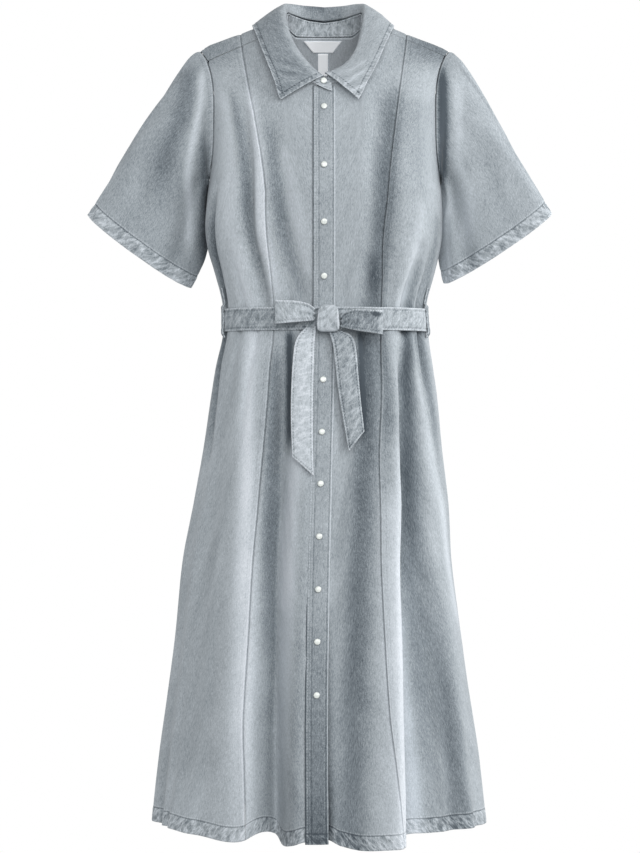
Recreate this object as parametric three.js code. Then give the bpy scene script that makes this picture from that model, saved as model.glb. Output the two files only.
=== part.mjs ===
// A belted denim shirt dress, filled out as it is when worn, with nobody in it. Millimetres, +Z up.
// The front faces -Y and +X is the viewer's right. The origin is where the wearer's shoulders hold the dress:
// midway between the shoulder seams, at the height of the neck base.
import * as THREE from "three";

// Driving dimensions
const CLOTH = 1.5; // thickness of one layer of denim
const HEM_CLOTH = 2.7; // thickness where the hem is turned up
const HEM_DEPTH = 21;
const SEAM_GAP = 0.3;
const BAND_LIFT = 0.5; // clearance of a piece that lies on a panel
const SIDE_Z = -230; // below this level the body is a closed ring
const ARMPIT_Z = -200;
const HEM_Z = -1168;
const SHOULDER_HALF_SPAN = 105; // the shoulder ridge has its reference height here
const SHOULDER_Z = 24;
const SHOULDER_SLOPE = 0.415;
const NECK_HALF_WIDTH = 66;
const FRONT_NECK_Z = -70;
const BACK_NECK_Z = 18;
const PRINCESS_X = 123; // where the princess seams meet the shoulder seams
const SHOULDER_SEAM_DROP = { left: 21, right: 10 }; // how far the seam lies in front of and below the ridge
const PLACKET_HALF_WIDTH = 16.5;
const BELT_TOP_Z = -397;
const BELT_BOTTOM_Z = -431;
const BELT_CLOTH = 2.2;
const SNAP_RADIUS = 4.8;
const SNAP_HEIGHT = 2.6;

// Sections of the body: half widths on the viewer's left and right, the centre line, front and back depths,
// and the roundness of the section (2 is an ellipse, more is squarer).
const SECTIONS = [
  { z: 60, left: 202, right: 200, centre: 0, front: 129, back: 105, round: 2.6 },
  { z: 0, left: 190, right: 189, centre: 0, front: 129, back: 105, round: 2.6 },
  { z: -40, left: 182, right: 182, centre: 0, front: 129, back: 105, round: 2.6 },
  { z: -100, left: 174, right: 175, centre: 0, front: 129, back: 105, round: 2.6 },
  { z: -160, left: 170, right: 172, centre: 0, front: 129, back: 105, round: 2.6 },
  { z: -200, left: 171, right: 173, centre: 0, front: 129, back: 105, round: 2.6 },
  { z: -230, left: 175, right: 176, centre: 0, front: 129, back: 104, round: 2.6 },
  { z: -274, left: 178, right: 177, centre: 0, front: 125, back: 100, round: 2.5 },
  { z: -306, left: 174, right: 174, centre: 0, front: 119, back: 97, round: 2.45 },
  { z: -345, left: 162.5, right: 165, centre: 0, front: 111, back: 91, round: 2.4 },
  { z: -392, left: 151.5, right: 153.5, centre: 0, front: 104, back: 86, round: 2.35 },
  { z: -436, left: 151.5, right: 156.5, centre: 0, front: 104, back: 88, round: 2.3 },
  { z: -482, left: 161, right: 164, centre: -1, front: 112, back: 99, round: 2.25 },
  { z: -532, left: 168, right: 172, centre: -2, front: 120, back: 110, round: 2.2 },
  { z: -607, left: 177, right: 181, centre: -4, front: 129, back: 122, round: 2.2 },
  { z: -688, left: 189.5, right: 192.5, centre: -6, front: 138, back: 133, round: 2.15 },
  { z: -772, left: 203.5, right: 198.5, centre: -8, front: 147, back: 143, round: 2.15 },
  { z: -892, left: 214, right: 216.5, centre: -10, front: 160, back: 157, round: 2.1 },
  { z: -982, left: 225, right: 230, centre: -11, front: 170, back: 166, round: 2.1 },
  { z: -1060, left: 236, right: 242, centre: -11, front: 179, back: 174, round: 2.1 },
  { z: -1175, left: 249, right: 255, centre: -10.5, front: 191, back: 184, round: 2.1 },
];

// Angle of the princess seams from the centre front, in degrees, by height.
const PRINCESS = [
  { z: -230, left: 29.3, right: 33.2 },
  { z: -300, left: 28.5, right: 31.1 },
  { z: -391, left: 29.6, right: 33.8 },
  { z: -430, left: 29.5, right: 32.9 },
  { z: -530, left: 28.4, right: 29.9 },
  { z: -625, left: 28.3, right: 27.5 },
  { z: -751, left: 27.7, right: 27.1 },
  { z: -980, left: 27.4, right: 26.6 },
  { z: -1060, left: 26.2, right: 27.6 },
  { z: -1175, left: 24.4, right: 29.6 },
];
const BACK_PRINCESS = 35;
const SEAM_DRAW = 2.1; // how late the princess seams draw in below the shoulder

// Height of the hem by angle: negative angles are on the viewer's left, 0 is the centre front.
const HEM_LINE = [
  { angle: -90, z: -1161 },
  { angle: -75, z: -1161 },
  { angle: -60, z: -1160 },
  { angle: -50, z: -1163 },
  { angle: -40, z: -1166 },
  { angle: -30, z: -1169 },
  { angle: -25, z: -1166 },
  { angle: -21, z: -1157 },
  { angle: -17, z: -1164 },
  { angle: -13, z: -1176 },
  { angle: -9, z: -1173 },
  { angle: -4, z: -1166 },
  { angle: 0, z: -1168 },
  { angle: 4, z: -1165 },
  { angle: 8, z: -1173 },
  { angle: 15, z: -1180 },
  { angle: 25, z: -1178 },
  { angle: 31, z: -1176 },
  { angle: 38, z: -1166 },
  { angle: 50, z: -1163 },
  { angle: 75, z: -1161.5 },
  { angle: 90, z: -1163.5 },
];

// Folds: troughs pressed into the body, from one height and angle to another, with the width of each flank in
// degrees and the depth in mm at the start, middle and end. Angles are from the centre of that face.
const FRONT_FOLDS = [
  { name: "left_side_crease", from: -185, to: -425, a0: -65, a1: -78, wl: 3.5, wr: 3.5, d0: 3, dm: 11, d1: 8 },
  { name: "left_side_tuck", from: -400, to: -650, a0: -79, a1: -75, wl: 3.5, wr: 3.5, d0: 8, dm: 13, d1: 3 },
  { name: "left_bust", from: -70, to: -425, a0: -44, a1: -34.5, wl: 5.5, wr: 4, d0: 5, dm: 14, d1: 10 },
  { name: "left_inner_bust", from: -90, to: -425, a0: -29.5, a1: -11, wl: 5, wr: 7, d0: 4, dm: 9, d1: 6 },
  { name: "left_flute", from: -420, to: -1200, a0: -22, a1: -17, wl: 4, wr: 6.5, d0: 8, dm: 36, d1: 60 },
  { name: "left_hip", from: -440, to: -1160, a0: -62, a1: -58, wl: 10, wr: 13, d0: 5, dm: 15, d1: 16 },
  { name: "left_side_flute", from: -520, to: -1200, a0: -77, a1: -79, wl: 5, wr: 6, d0: 2, dm: 10, d1: 20 },
  { name: "right_bust", from: -60, to: -520, a0: 31.5, a1: 28, wl: 7.5, wr: 5.5, d0: 6, dm: 15, d1: 8 },
  { name: "right_gather", from: -290, to: -450, a0: 56, a1: 50, wl: 4.5, wr: 4.5, d0: 4, dm: 12, d1: 12 },
  { name: "right_flute", from: -420, to: -1200, a0: 47, a1: 35.5, wl: 4, wr: 10, d0: 18, dm: 36, d1: 50 },
  { name: "right_crease", from: -290, to: -540, a0: 68, a1: 66, wl: 3.2, wr: 3.2, d0: 3, dm: 13, d1: 3 },
  { name: "right_centre", from: -470, to: -1200, a0: 17, a1: 10.5, wl: 6, wr: 8, d0: 6, dm: 17, d1: 14 },
  { name: "right_side_flute", from: -760, to: -1200, a0: 60, a1: 56, wl: 6, wr: 6, d0: 2, dm: 10, d1: 20 },
];
const BACK_FOLDS = [
  { name: "back_left_side", from: -500, to: -1200, a0: -66, a1: -64, wl: 6, wr: 9, d0: 4, dm: 20, d1: 34 },
  { name: "back_left", from: -430, to: -1200, a0: -40, a1: -37, wl: 9, wr: 5, d0: 7, dm: 30, d1: 48 },
  { name: "back_centre_left", from: -430, to: -1200, a0: -14, a1: -9, wl: 5, wr: 9, d0: 5, dm: 24, d1: 44 },
  { name: "back_centre_right", from: -440, to: -1200, a0: 15, a1: 19, wl: 8, wr: 5, d0: 6, dm: 30, d1: 52 },
  { name: "back_right", from: -460, to: -1200, a0: 45, a1: 43, wl: 6, wr: 9, d0: 4, dm: 22, d1: 40 },
  { name: "back_right_side", from: -520, to: -1200, a0: 70, a1: 67, wl: 7, wr: 5, d0: 3, dm: 18, d1: 30 },
  { name: "back_waist_left", from: -210, to: -405, a0: -36, a1: -30, wl: 6, wr: 6, d0: 3, dm: 8, d1: 9 },
  { name: "back_waist_right", from: -230, to: -405, a0: 22, a1: 27, wl: 6, wr: 6, d0: 3, dm: 8, d1: 9 },
  { name: "back_waist_centre", from: -300, to: -405, a0: -4, a1: -5, wl: 5, wr: 6, d0: 2, dm: 5, d1: 7 },
];
// The right front drops away behind the button band towards the hem.
const UNDERLAP_FOLD = { name: "underlap", from: -820, to: -1200, a0: 1, a1: 0.5, wl: 14, wr: 4.2, d0: 2, dm: 12, d1: 30 };

// Sleeve sections from armhole to hem: the outer and inner edges, half the depth, and how far the section has
// turned from the armhole's shape into an ellipse.
const LEFT_SLEEVE = [
  { t: 0, ox: -184, oy: 0, oz: -10, ix: -171, iy: 0, iz: -200, depth: 46, oval: 0 },
  { t: 0.04, ox: -192, oy: 0, oz: -12, ix: -175.5, iy: 3, iz: -203, depth: 48, oval: 0.04 },
  { t: 0.12, ox: -206, oy: 0, oz: -25, ix: -174, iy: 30, iz: -222, depth: 52, oval: 0.3 },
  { t: 0.34, ox: -246, oy: 2, oz: -82, ix: -176, iy: 41, iz: -250, depth: 52, oval: 0.75 },
  { t: 0.56, ox: -284.5, oy: 2, oz: -141, ix: -173, iy: 48, iz: -279, depth: 47, oval: 1 },
  { t: 0.8, ox: -322, oy: 2, oz: -204, ix: -180, iy: 43, iz: -318, depth: 42, oval: 1 },
  { t: 1, ox: -354, oy: 0, oz: -255, ix: -200, iy: 27, iz: -362, depth: 39, oval: 1 },
];
const RIGHT_SLEEVE = [
  { t: 0, ox: 182, oy: 0, oz: -10, ix: 173, iy: 0, iz: -200, depth: 46, oval: 0 },
  { t: 0.04, ox: 190, oy: 0, oz: -12, ix: 177.5, iy: 3, iz: -203, depth: 48, oval: 0.04 },
  { t: 0.12, ox: 205, oy: 0, oz: -27, ix: 175.5, iy: 29, iz: -221, depth: 52, oval: 0.3 },
  { t: 0.34, ox: 241, oy: 2, oz: -82, ix: 177, iy: 40, iz: -249, depth: 52, oval: 0.75 },
  { t: 0.56, ox: 275.5, oy: 2, oz: -142, ix: 173, iy: 49, iz: -277, depth: 47, oval: 1 },
  { t: 0.8, ox: 312, oy: 2, oz: -202, ix: 174, iy: 46, iz: -318, depth: 42, oval: 1 },
  { t: 1, ox: 342, oy: 0, oz: -252, ix: 182, iy: 33, iz: -355, depth: 39, oval: 1 },
];
const SLEEVE_BOW = 11; // how far the front of a sleeve hem hangs below the line between its corners
// Soft folds down the front of each sleeve: place across from outer to inner edge, flank width, depth.
const SLEEVE_FOLDS = [
  { at: 0.3, width: 0.13, depth: 5 },
  { at: 0.76, width: 0.09, depth: 11 },
];

// Collar: the fold line and the outer edge of the leaf, from the front end to the centre back, on the viewer's
// left and right. rise is how far the fold stands above the seam with the stand.
const LEFT_COLLAR = [
  { t: -0.06, fx: 12, fy: -85, fz: -61, ex: -50, ey: -102, ez: -90, rise: 1 },
  { t: 0, fx: -2, fy: -84, fz: -58, ex: -63, ey: -102, ez: -94.5, rise: 1 },
  { t: 0.14, fx: -26, fy: -76, fz: -35, ex: -73, ey: -93, ez: -66, rise: 4 },
  { t: 0.28, fx: -45, fy: -60, fz: -6, ex: -84, ey: -76, ez: -36, rise: 6 },
  { t: 0.42, fx: -57, fy: -35, fz: 29, ex: -95, ey: -50, ez: -5, rise: 8 },
  { t: 0.58, fx: -59, fy: 0, fz: 58.5, ex: -106, ey: -7, ez: 27.2, rise: 11 },
  { t: 0.72, fx: -50, fy: 30, fz: 65.5, ex: -97, ey: 46, ez: 19, rise: 15 },
  { t: 0.86, fx: -28, fy: 48, fz: 65.5, ex: -56, ey: 70, ez: 17, rise: 19 },
  { t: 1, fx: 0, fy: 54, fz: 64.5, ex: 0, ey: 80, ez: 16, rise: 21 },
];
const RIGHT_COLLAR = [
  { t: -0.06, fx: -12, fy: -85, fz: -59, ex: 40, ey: -102, ez: -91, rise: 1 },
  { t: 0, fx: 2.5, fy: -84, fz: -54, ex: 50, ey: -103, ez: -93.5, rise: 1 },
  { t: 0.14, fx: 30, fy: -76, fz: -40, ex: 64, ey: -94, ez: -66, rise: 4 },
  { t: 0.28, fx: 47.5, fy: -60, fz: -15, ex: 78, ey: -77, ez: -38, rise: 6 },
  { t: 0.42, fx: 57, fy: -35, fz: 18, ex: 90, ey: -52, ez: -8, rise: 8 },
  { t: 0.58, fx: 61, fy: 0, fz: 57, ex: 104, ey: -7, ez: 27.2, rise: 11 },
  { t: 0.72, fx: 51, fy: 30, fz: 65.5, ex: 96, ey: 46, ez: 19, rise: 15 },
  { t: 0.86, fx: 28, fy: 48, fz: 65.5, ex: 56, ey: 70, ez: 17, rise: 19 },
  { t: 1, fx: 0, fy: 54, fz: 64.5, ex: 0, ey: 80, ez: 16, rise: 21 },
];

// The belt's bow. Loops: their length, heights of the upper and lower edge and half the depth by distance from
// the knot. Tails: the two edges and how far they hang in front.
const LEFT_LOOP = [
  { x: -14, top: -400, low: -417.5, depth: 3.2 },
  { x: -22, top: -394, low: -418.5, depth: 5.2 },
  { x: -40, top: -389.5, low: -420, depth: 7.8 },
  { x: -58, top: -388.5, low: -421.5, depth: 8 },
  { x: -71.5, top: -387.5, low: -422.5, depth: 5 },
];
const RIGHT_LOOP = [
  { x: 24.3, top: -410.5, low: -427.5, depth: 3.2 },
  { x: 29, top: -405.5, low: -428.8, depth: 5.5 },
  { x: 44, top: -401.5, low: -432, depth: 8.5 },
  { x: 64, top: -402, low: -435, depth: 9 },
  { x: 86, top: -403, low: -438, depth: 6 },
];
const LEFT_TAIL = [
  { t: 0, lx: -27, lz: -427, ly: -108.9, rx: -11.5, rz: -426, ry: -111.4 },
  { t: 0.1, lx: -38, lz: -440, ly: -117, rx: -14, rz: -452, ry: -121 },
  { t: 0.2, lx: -43.8, lz: -457, ly: -121, rx: -14.4, rz: -470, ry: -124 },
  { t: 0.45, lx: -47.5, lz: -508, ly: -126, rx: -16, rz: -528, ry: -131 },
  { t: 0.72, lx: -48.5, lz: -560, ly: -130, rx: -16.3, rz: -585, ry: -137 },
  { t: 1, lx: -46.5, lz: -616, ly: -136, rx: -15, rz: -643, ry: -142 },
];
const RIGHT_TAIL = [
  { t: 0, lx: 7.8, lz: -435.5, ly: -118.5, rx: 25.5, rz: -432.4, ry: -116 },
  { t: 0.1, lx: 12, lz: -450, ly: -121, rx: 40, rz: -440, ry: -118 },
  { t: 0.2, lx: 14.5, lz: -466, ly: -124, rx: 46, rz: -455, ry: -120 },
  { t: 0.45, lx: 20, lz: -516, ly: -129, rx: 50, rz: -497, ry: -124 },
  { t: 0.72, lx: 27.5, lz: -562, ly: -133, rx: 54, rz: -539, ry: -127 },
  { t: 1, lx: 35.3, lz: -608, ly: -139, rx: 58.5, rz: -579, ry: -131 },
];
const KNOT = { x: 6, y: -119.65, z: -414.5, halfWidth: 16, halfHeight: 20, halfDepth: 9.5 };

// Heights of the snaps on the band, and of the one on the collar stand.
const STAND_SNAP = { x: -0.6, y: -89.9, z: -65 };
const SNAP_HEIGHTS = [-105, -192, -274, -352, -504, -580, -655, -731, -807, -882, -958];

const FINISH = {
  denim: { color: 0x9aa5af, roughness: 0.92, metalness: 0 },
  snap: { color: 0xeef2ec, roughness: 0.25, metalness: 0 },
  label: { color: 0xf0f1f2, roughness: 0.8, metalness: 0 },
};

// Small helpers
const DEG = Math.PI / 180;
const clamp = (x, low, high) => Math.min(high, Math.max(low, x));
const mix = (a, b, t) => a + (b - a) * t;
const smooth = (t) => {
  const c = clamp(t, 0, 1);
  return c * c * (3 - 2 * c);
};
const steps = (n) => Array.from({ length: n + 1 }, (_, i) => i / n);

// Reads a column of a table at a key between its rows, on a smooth curve through them.
function look(rows, key, at, column) {
  const up = rows[rows.length - 1][key] > rows[0][key];
  const sorted = up ? rows : [...rows].reverse();
  const last = sorted.length - 1;
  let i = 0;
  while (i < last - 1 && at > sorted[i + 1][key]) i += 1;
  const [a, b] = [sorted[i], sorted[i + 1]];
  const before = sorted[Math.max(0, i - 1)];
  const after = sorted[Math.min(last, i + 2)];
  const span = b[key] - a[key];
  const t = clamp((at - a[key]) / span, 0, 1);
  const slopeA = ((b[column] - before[column]) / Math.max(1e-9, b[key] - before[key])) * span;
  const slopeB = ((after[column] - a[column]) / Math.max(1e-9, after[key] - a[key])) * span;
  const t2 = t * t;
  const t3 = t2 * t;
  return (
    (2 * t3 - 3 * t2 + 1) * a[column] + (t3 - 2 * t2 + t) * slopeA + (3 * t2 - 2 * t3) * b[column] + (t3 - t2) * slopeB
  );
}

// How deep the folds press in at an angle (degrees) and height.
function foldDepth(folds, angle, z) {
  let depth = 0;
  for (const f of folds) {
    const k = (f.from - z) / (f.from - f.to);
    if (k <= 0 || k >= 1) continue;
    const off = angle - mix(f.a0, f.a1, k);
    const width = off < 0 ? f.wl : f.wr;
    const along = k < 0.5 ? mix(f.d0, f.dm, smooth(2 * k)) : mix(f.dm, f.d1, smooth(2 * k - 1));
    const fade = smooth(k / 0.12) * (f.to < HEM_Z ? 1 : smooth((1 - k) / 0.15));
    depth += along * fade * Math.exp(-((off / width) ** 2));
  }
  return depth;
}

const WIDEST = 1 - 6e-7; // keeps front and back apart at the side seams
const shoulderRidge = (x) =>
  SHOULDER_Z - SHOULDER_SLOPE * (Math.max(Math.abs(x), NECK_HALF_WIDTH) - SHOULDER_HALF_SPAN);

// A point of the body's outer face, from how far it lies across (-1 to 1 of the half width), its height, and
// which face it is on. fill is 1 except near the shoulders, where the face curves in to the ridge.
function bodyPoint(face, across, z, fill = 1, folds = face === "front" ? FRONT_FOLDS : BACK_FOLDS) {
  const half = look(SECTIONS, "z", z, across < 0 ? "left" : "right");
  const depth = look(SECTIONS, "z", z, face) * fill;
  const round = look(SECTIONS, "z", z, "round");
  const c = clamp(across, -WIDEST, WIDEST);
  const bulge = (1 - Math.abs(c) ** round) ** (1 / round);
  const sign = face === "front" ? -1 : 1;
  const angle = Math.asin(c) / DEG;
  const press = foldDepth(folds, angle, z) * clamp(bulge * 3, 0, 1);
  const normal = new THREE.Vector2(c / half, (sign * bulge) / depth).normalize();
  return new THREE.Vector3(
    look(SECTIONS, "z", z, "centre") + c * half - press * normal.x,
    sign * depth * bulge - press * normal.y,
    z,
  );
}

// A point of the shoulders and chest. over runs from the shoulder ridge (0) down the back (to 1 at SIDE_Z) and,
// when negative, down the front.
const RIDGE_POWER = 1.5;
function shoulderPoint(x, over, folds, across) {
  const face = over < 0 ? "front" : "back";
  const drop = Math.abs(over) ** RIDGE_POWER;
  const ridge = shoulderRidge(x);
  const z = ridge - drop * (ridge - SIDE_Z);
  const fill = face === "front" ? (1 - (1 - drop) ** 1.6) ** 0.77 : (1 - (1 - drop) ** 2.2) ** 0.5;
  return bodyPoint(face, across, z, Math.max(fill, 1e-3), folds);
}
const heightAt = (x, over) => shoulderRidge(x) - Math.abs(over) ** RIDGE_POWER * (shoulderRidge(x) - SIDE_Z);
function overAt(x, z, sign) {
  const drop = clamp((shoulderRidge(x) - z) / (shoulderRidge(x) - SIDE_Z), 0, 1);
  return sign * drop ** (1 / RIDGE_POWER);
}

// The neckline, from the centre (0) to the shoulder seam (1), as x and how far over the shoulder it is.
function neckline(face, side, k) {
  const sign = side === "left" ? -1 : 1;
  const seamZ = shoulderRidge(NECK_HALF_WIDTH) - SHOULDER_SEAM_DROP[side];
  if (face === "front") {
    const turn = k * 90 * DEG;
    const z = FRONT_NECK_Z + (seamZ - FRONT_NECK_Z) * (1 - Math.cos(turn));
    const x = sign * NECK_HALF_WIDTH * Math.sin(turn);
    return { x, over: overAt(x, z, -1) };
  }
  const over = mix(overAt(0, BACK_NECK_Z, 1), overAt(NECK_HALF_WIDTH, seamZ, -1), Math.max(0, (k - 0.35) / 0.65) ** 1.2);
  const x = sign * NECK_HALF_WIDTH * Math.sin(Math.min(1, k * 1.25) * 90 * DEG);
  return { x, over };
}

// The armhole, from the shoulder seam (0) to the armpit (1).
const ARMHOLE_X = { left: 163, right: 165 };
const ARMHOLE_MID_Z = -115;
function armhole(face, side, k) {
  const sign = side === "left" ? -1 : 1;
  const half = look(SECTIONS, "z", ARMPIT_Z, side);
  const place = (z) => {
    const up = z > ARMHOLE_MID_Z;
    const reach = up ? 20 : half - ARMHOLE_X[side];
    const span = up ? -10 - ARMHOLE_MID_Z : ARMHOLE_MID_Z - ARMPIT_Z;
    const power = face === "back" && up && k > 0.3 ? 2.2 : 3.2;
    return sign * (ARMHOLE_X[side] + reach * Math.min(1.1, Math.abs(z - ARMHOLE_MID_Z) / span) ** power);
  };
  const tip = ARMHOLE_X[side] + 16;
  const seamZ = shoulderRidge(tip) - SHOULDER_SEAM_DROP[side];
  if (face === "front") {
    const z = seamZ + (ARMPIT_Z - seamZ) * Math.sin(k * 90 * DEG);
    return { x: place(z), over: overAt(place(z), z, -1) };
  }
  const start = overAt(place(seamZ), seamZ, -1);
  const turnK = 0.3; // the back's share of the armhole that goes over the ridge
  if (k < turnK) {
    const over = mix(start, 0, k / turnK);
    const z = shoulderRidge(tip) - Math.abs(over) ** RIDGE_POWER * (shoulderRidge(tip) - SIDE_Z);
    return { x: place(z), over };
  }
  const ridgeZ = shoulderRidge(place(shoulderRidge(tip)));
  const z = ridgeZ + (ARMPIT_Z - ridgeZ) * Math.sin(((k - turnK) / (1 - turnK)) * 90 * DEG);
  return { x: place(z), over: overAt(place(z), z, 1) };
}

const princessAngle = (face, side, z) =>
  face === "back" ? BACK_PRINCESS : look(PRINCESS, "z", Math.min(z, SIDE_Z), side);

// Where a panel starts at the top, for a place across it (0 at its inner edge, 1 at its outer edge).
const NECK_SHARE = 0.62; // of the centre panel's top edge
const RIDGE_AT = 0.14; // the back panels cross the shoulder ridge at this row
const SHOULDER_SHARE = 0.3; // of the side panel's top edge
function topEdge(face, side, panel, a, innerX) {
  const sign = side === "left" ? -1 : 1;
  const seam = (x) => ({ x: sign * x, over: overAt(x, shoulderRidge(x) - SHOULDER_SEAM_DROP[side], -1) });
  if (panel === "centre") {
    const start = (Math.asin(clamp(innerX / NECK_HALF_WIDTH, -1, 1)) / DEG / 90) * (face === "front" ? 1 : 0.8);
    if (a <= NECK_SHARE) return neckline(face, side, mix(start, 1, a / NECK_SHARE));
    return seam(mix(NECK_HALF_WIDTH, PRINCESS_X - SEAM_GAP / 2, (a - NECK_SHARE) / (1 - NECK_SHARE)));
  }
  const tip = Math.abs(armhole(face, side, 0).x);
  if (a <= SHOULDER_SHARE) return seam(mix(PRINCESS_X + SEAM_GAP / 2, tip, a / SHOULDER_SHARE));
  return armhole(face, side, (a - SHOULDER_SHARE) / (1 - SHOULDER_SHARE));
}

// One panel as a function of place across (0 to 1) and down (0 at its top edge, 1 at SIDE_Z, 2 at the hem).
function panelSurface(face, side, panel, options = {}) {
  const sign = side === "left" ? -1 : 1;
  const innerX = options.innerX ?? 0;
  const folds = options.folds ?? (face === "front" ? FRONT_FOLDS : BACK_FOLDS);
  const angleAt = (a, z) => {
    const seam = princessAngle(face, side, z);
    const half = look(SECTIONS, "z", z, side);
    const inner = Math.asin(innerX / half) / DEG;
    const edgeGap = ((SEAM_GAP / 2) / half / DEG) * 1.2;
    if (panel === "centre") return sign * mix(inner, seam - edgeGap, a);
    return sign * mix(seam + edgeGap, 90 - edgeGap * 0.8, a);
  };
  const beside = (a) => (panel === "side" ? smooth(a / SHOULDER_SHARE) : 0); // armholes draw the cloth in fast
  const inwards = (a, down) => mix(down ** SEAM_DRAW, 1 - (1 - down) ** 2.6, beside(a));
  const chest = (a, down) => {
    const top = topEdge(face, side, panel, a, innerX);
    const start = top.x / look(SECTIONS, "z", heightAt(top.x, top.over), side);
    const end = Math.sin(angleAt(a, SIDE_Z) * DEG);
    const x = mix(top.x, end * look(SECTIONS, "z", SIDE_Z, side), inwards(a, down));
    let over = mix(top.over, face === "front" ? -1 : 1, down);
    if (face === "back") {
      const viaRidge = down < RIDGE_AT ? mix(top.over, 0, down / RIDGE_AT) : (down - RIDGE_AT) / (1 - RIDGE_AT);
      over = mix(over, viaRidge, clamp(-top.over / 0.05, 0, 1));
    }
    return { x, over, across: mix(start, end, inwards(a, down)) };
  };
  const at = (a, down) => {
    if (down < 1) {
      const { x, over, across } = chest(a, down);
      return shoulderPoint(x, over, folds, across);
    }
    const levelZ = mix(SIDE_Z, HEM_Z, down - 1);
    const angle = angleAt(a, levelZ);
    const lineAngle = face === "front" ? angle : sign * 90;
    const hemShift = (look(HEM_LINE, "angle", lineAngle, "z") - HEM_Z) * smooth((down - 1.6) / 0.4);
    return bodyPoint(face, Math.sin(angle * DEG), levelZ + hemShift, 1, folds);
  };
  // The direction out of the cloth
  at.normal = (a, down) => {
    if (down < 1) {
      const { x, over, across } = chest(a, down);
      const move = (e, o) => shoulderPoint(x + e * 170, clamp(over + o, -1, 1), folds, across + e);
      return move(0.004, 0).sub(move(-0.004, 0)).cross(move(0, 0.01).sub(move(0, -0.01))).normalize();
    }
    const z = mix(SIDE_Z, HEM_Z, down - 1);
    const angle = angleAt(a, z);
    const move = (e, dz) => bodyPoint(face, Math.sin((angle + e) * DEG), z + dz, 1, folds);
    const rise = face === "front" ? 2 : -2;
    return move(0.3, 0).sub(move(-0.3, 0)).cross(move(0, rise).sub(move(0, -rise))).normalize();
  };
  return at;
}

// Turns an outer surface into a closed wall of the given thickness. The lists say where the surface is sampled.
// With loop, the last column joins the first.
function wall(surface, across, down, thickness = () => CLOTH, options = {}) {
  const { loop = false, lift = 0, ends = null } = options;
  const eps = 1e-3;
  const outer = [];
  const inner = [];
  const [downLow, downHigh] = [down[0], down[down.length - 1]];
  const wrap = (a) => (loop ? (a + 1) % 1 : clamp(a, 0, 1));
  for (const [j, v] of down.entries()) {
    for (const u of across) {
      const p = surface(u, v);
      const du = surface(wrap(u + eps), v).sub(surface(wrap(u - eps), v));
      const dv = surface(u, clamp(v + eps, downLow, downHigh)).sub(surface(u, clamp(v - eps, downLow, downHigh)));
      const normal = surface.normal
        ? surface.normal(u, v)
        : du.cross(dv).normalize().multiplyScalar(options.flip ? -1 : 1);
      const up = typeof lift === "function" ? lift(u, v) : lift;
      const top = p.clone().addScaledVector(normal, up);
      outer.push(top);
      inner.push(top.clone().addScaledVector(normal, -thickness(u, v, j)));
    }
  }
  if (ends) ends(outer, inner);
  return gridSolid(outer, inner, across.length, down.length, loop);
}

// Joins an outer and an inner grid of points into one closed body.
function gridSolid(outer, inner, columns, rows, loop) {
  const points = [...outer, ...inner];
  const base = outer.length;
  const faces = [];
  const quad = (a, b, c, d) => faces.push(a, b, c, a, c, d);
  const at = (i, j) => j * columns + (i % columns);
  const lastColumn = loop ? columns : columns - 1;
  for (let j = 0; j < rows - 1; j += 1) {
    for (let i = 0; i < lastColumn; i += 1) {
      quad(at(i, j), at(i, j + 1), at(i + 1, j + 1), at(i + 1, j));
      quad(base + at(i, j), base + at(i + 1, j), base + at(i + 1, j + 1), base + at(i, j + 1));
    }
  }
  for (let i = 0; i < lastColumn; i += 1) {
    quad(at(i, 0), at(i + 1, 0), base + at(i + 1, 0), base + at(i, 0));
    quad(at(i + 1, rows - 1), at(i, rows - 1), base + at(i, rows - 1), base + at(i + 1, rows - 1));
  }
  if (!loop) {
    const edge = columns - 1;
    for (let j = 0; j < rows - 1; j += 1) {
      quad(at(0, j + 1), at(0, j), base + at(0, j), base + at(0, j + 1));
      quad(at(edge, j), at(edge, j + 1), base + at(edge, j + 1), base + at(edge, j));
    }
  }
  return closedGeometry(points, faces);
}

// A geometry from points and faces, turned so that its faces point out.
function closedGeometry(points, faces) {
  let volume = 0;
  for (let i = 0; i < faces.length; i += 3) {
    const [a, b, c] = [points[faces[i]], points[faces[i + 1]], points[faces[i + 2]]];
    volume += a.dot(b.clone().cross(c)) / 6;
  }
  const turned = volume > 0 ? faces : faces.map((_, i) => faces[i - (i % 3) + [0, 2, 1][i % 3]]);
  const geometry = new THREE.BufferGeometry();
  geometry.setAttribute("position", new THREE.Float32BufferAttribute(points.flatMap((p) => [p.x, p.y, p.z]), 3));
  geometry.setIndex(turned);
  geometry.computeVertexNormals();
  return geometry;
}

const dress = new THREE.Group();
dress.name = "shirt_dress";
function add(name, geometry, finish = "denim") {
  const mesh = new THREE.Mesh(geometry, new THREE.MeshStandardMaterial(FINISH[finish]));
  mesh.name = name;
  dress.add(mesh);
  return mesh;
}

// Rows of the body panels: shoulders to the side level, then down to the hem.
const TOP_ROWS = [0, 0.06, 0.14, 0.25, 0.38, 0.52, 0.68, 0.84];
const LEVELS = [-230, -265, -300, -335, -365, -394, -434, -465, -505, -550, -605, -670, -745, -825, -905];
const LOW_LEVELS = [-985, -1060, -1115, HEM_Z + HEM_DEPTH, HEM_Z + HEM_DEPTH - 1, HEM_Z];
const toDown = (z) => 1 + (SIDE_Z - z) / (SIDE_Z - HEM_Z);
const PANEL_ROWS = [...TOP_ROWS, ...[...LEVELS, ...LOW_LEVELS].map(toDown)];
const CENTRE_COLUMNS = [0, 0.13, 0.26, 0.38, 0.49, 0.58, NECK_SHARE, 0.74, 0.87, 1];
const SIDE_COLUMNS = [0, 0.1, 0.2, SHOULDER_SHARE, 0.37, 0.45, 0.53, 0.62, 0.72, 0.82, 0.91, 1];
const BACK_SIDE_COLUMNS = [0, 0.1, 0.2, SHOULDER_SHARE, 0.37, 0.44, 0.51, 0.58, 0.66, 0.74, 0.83, 0.92, 1];
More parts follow.
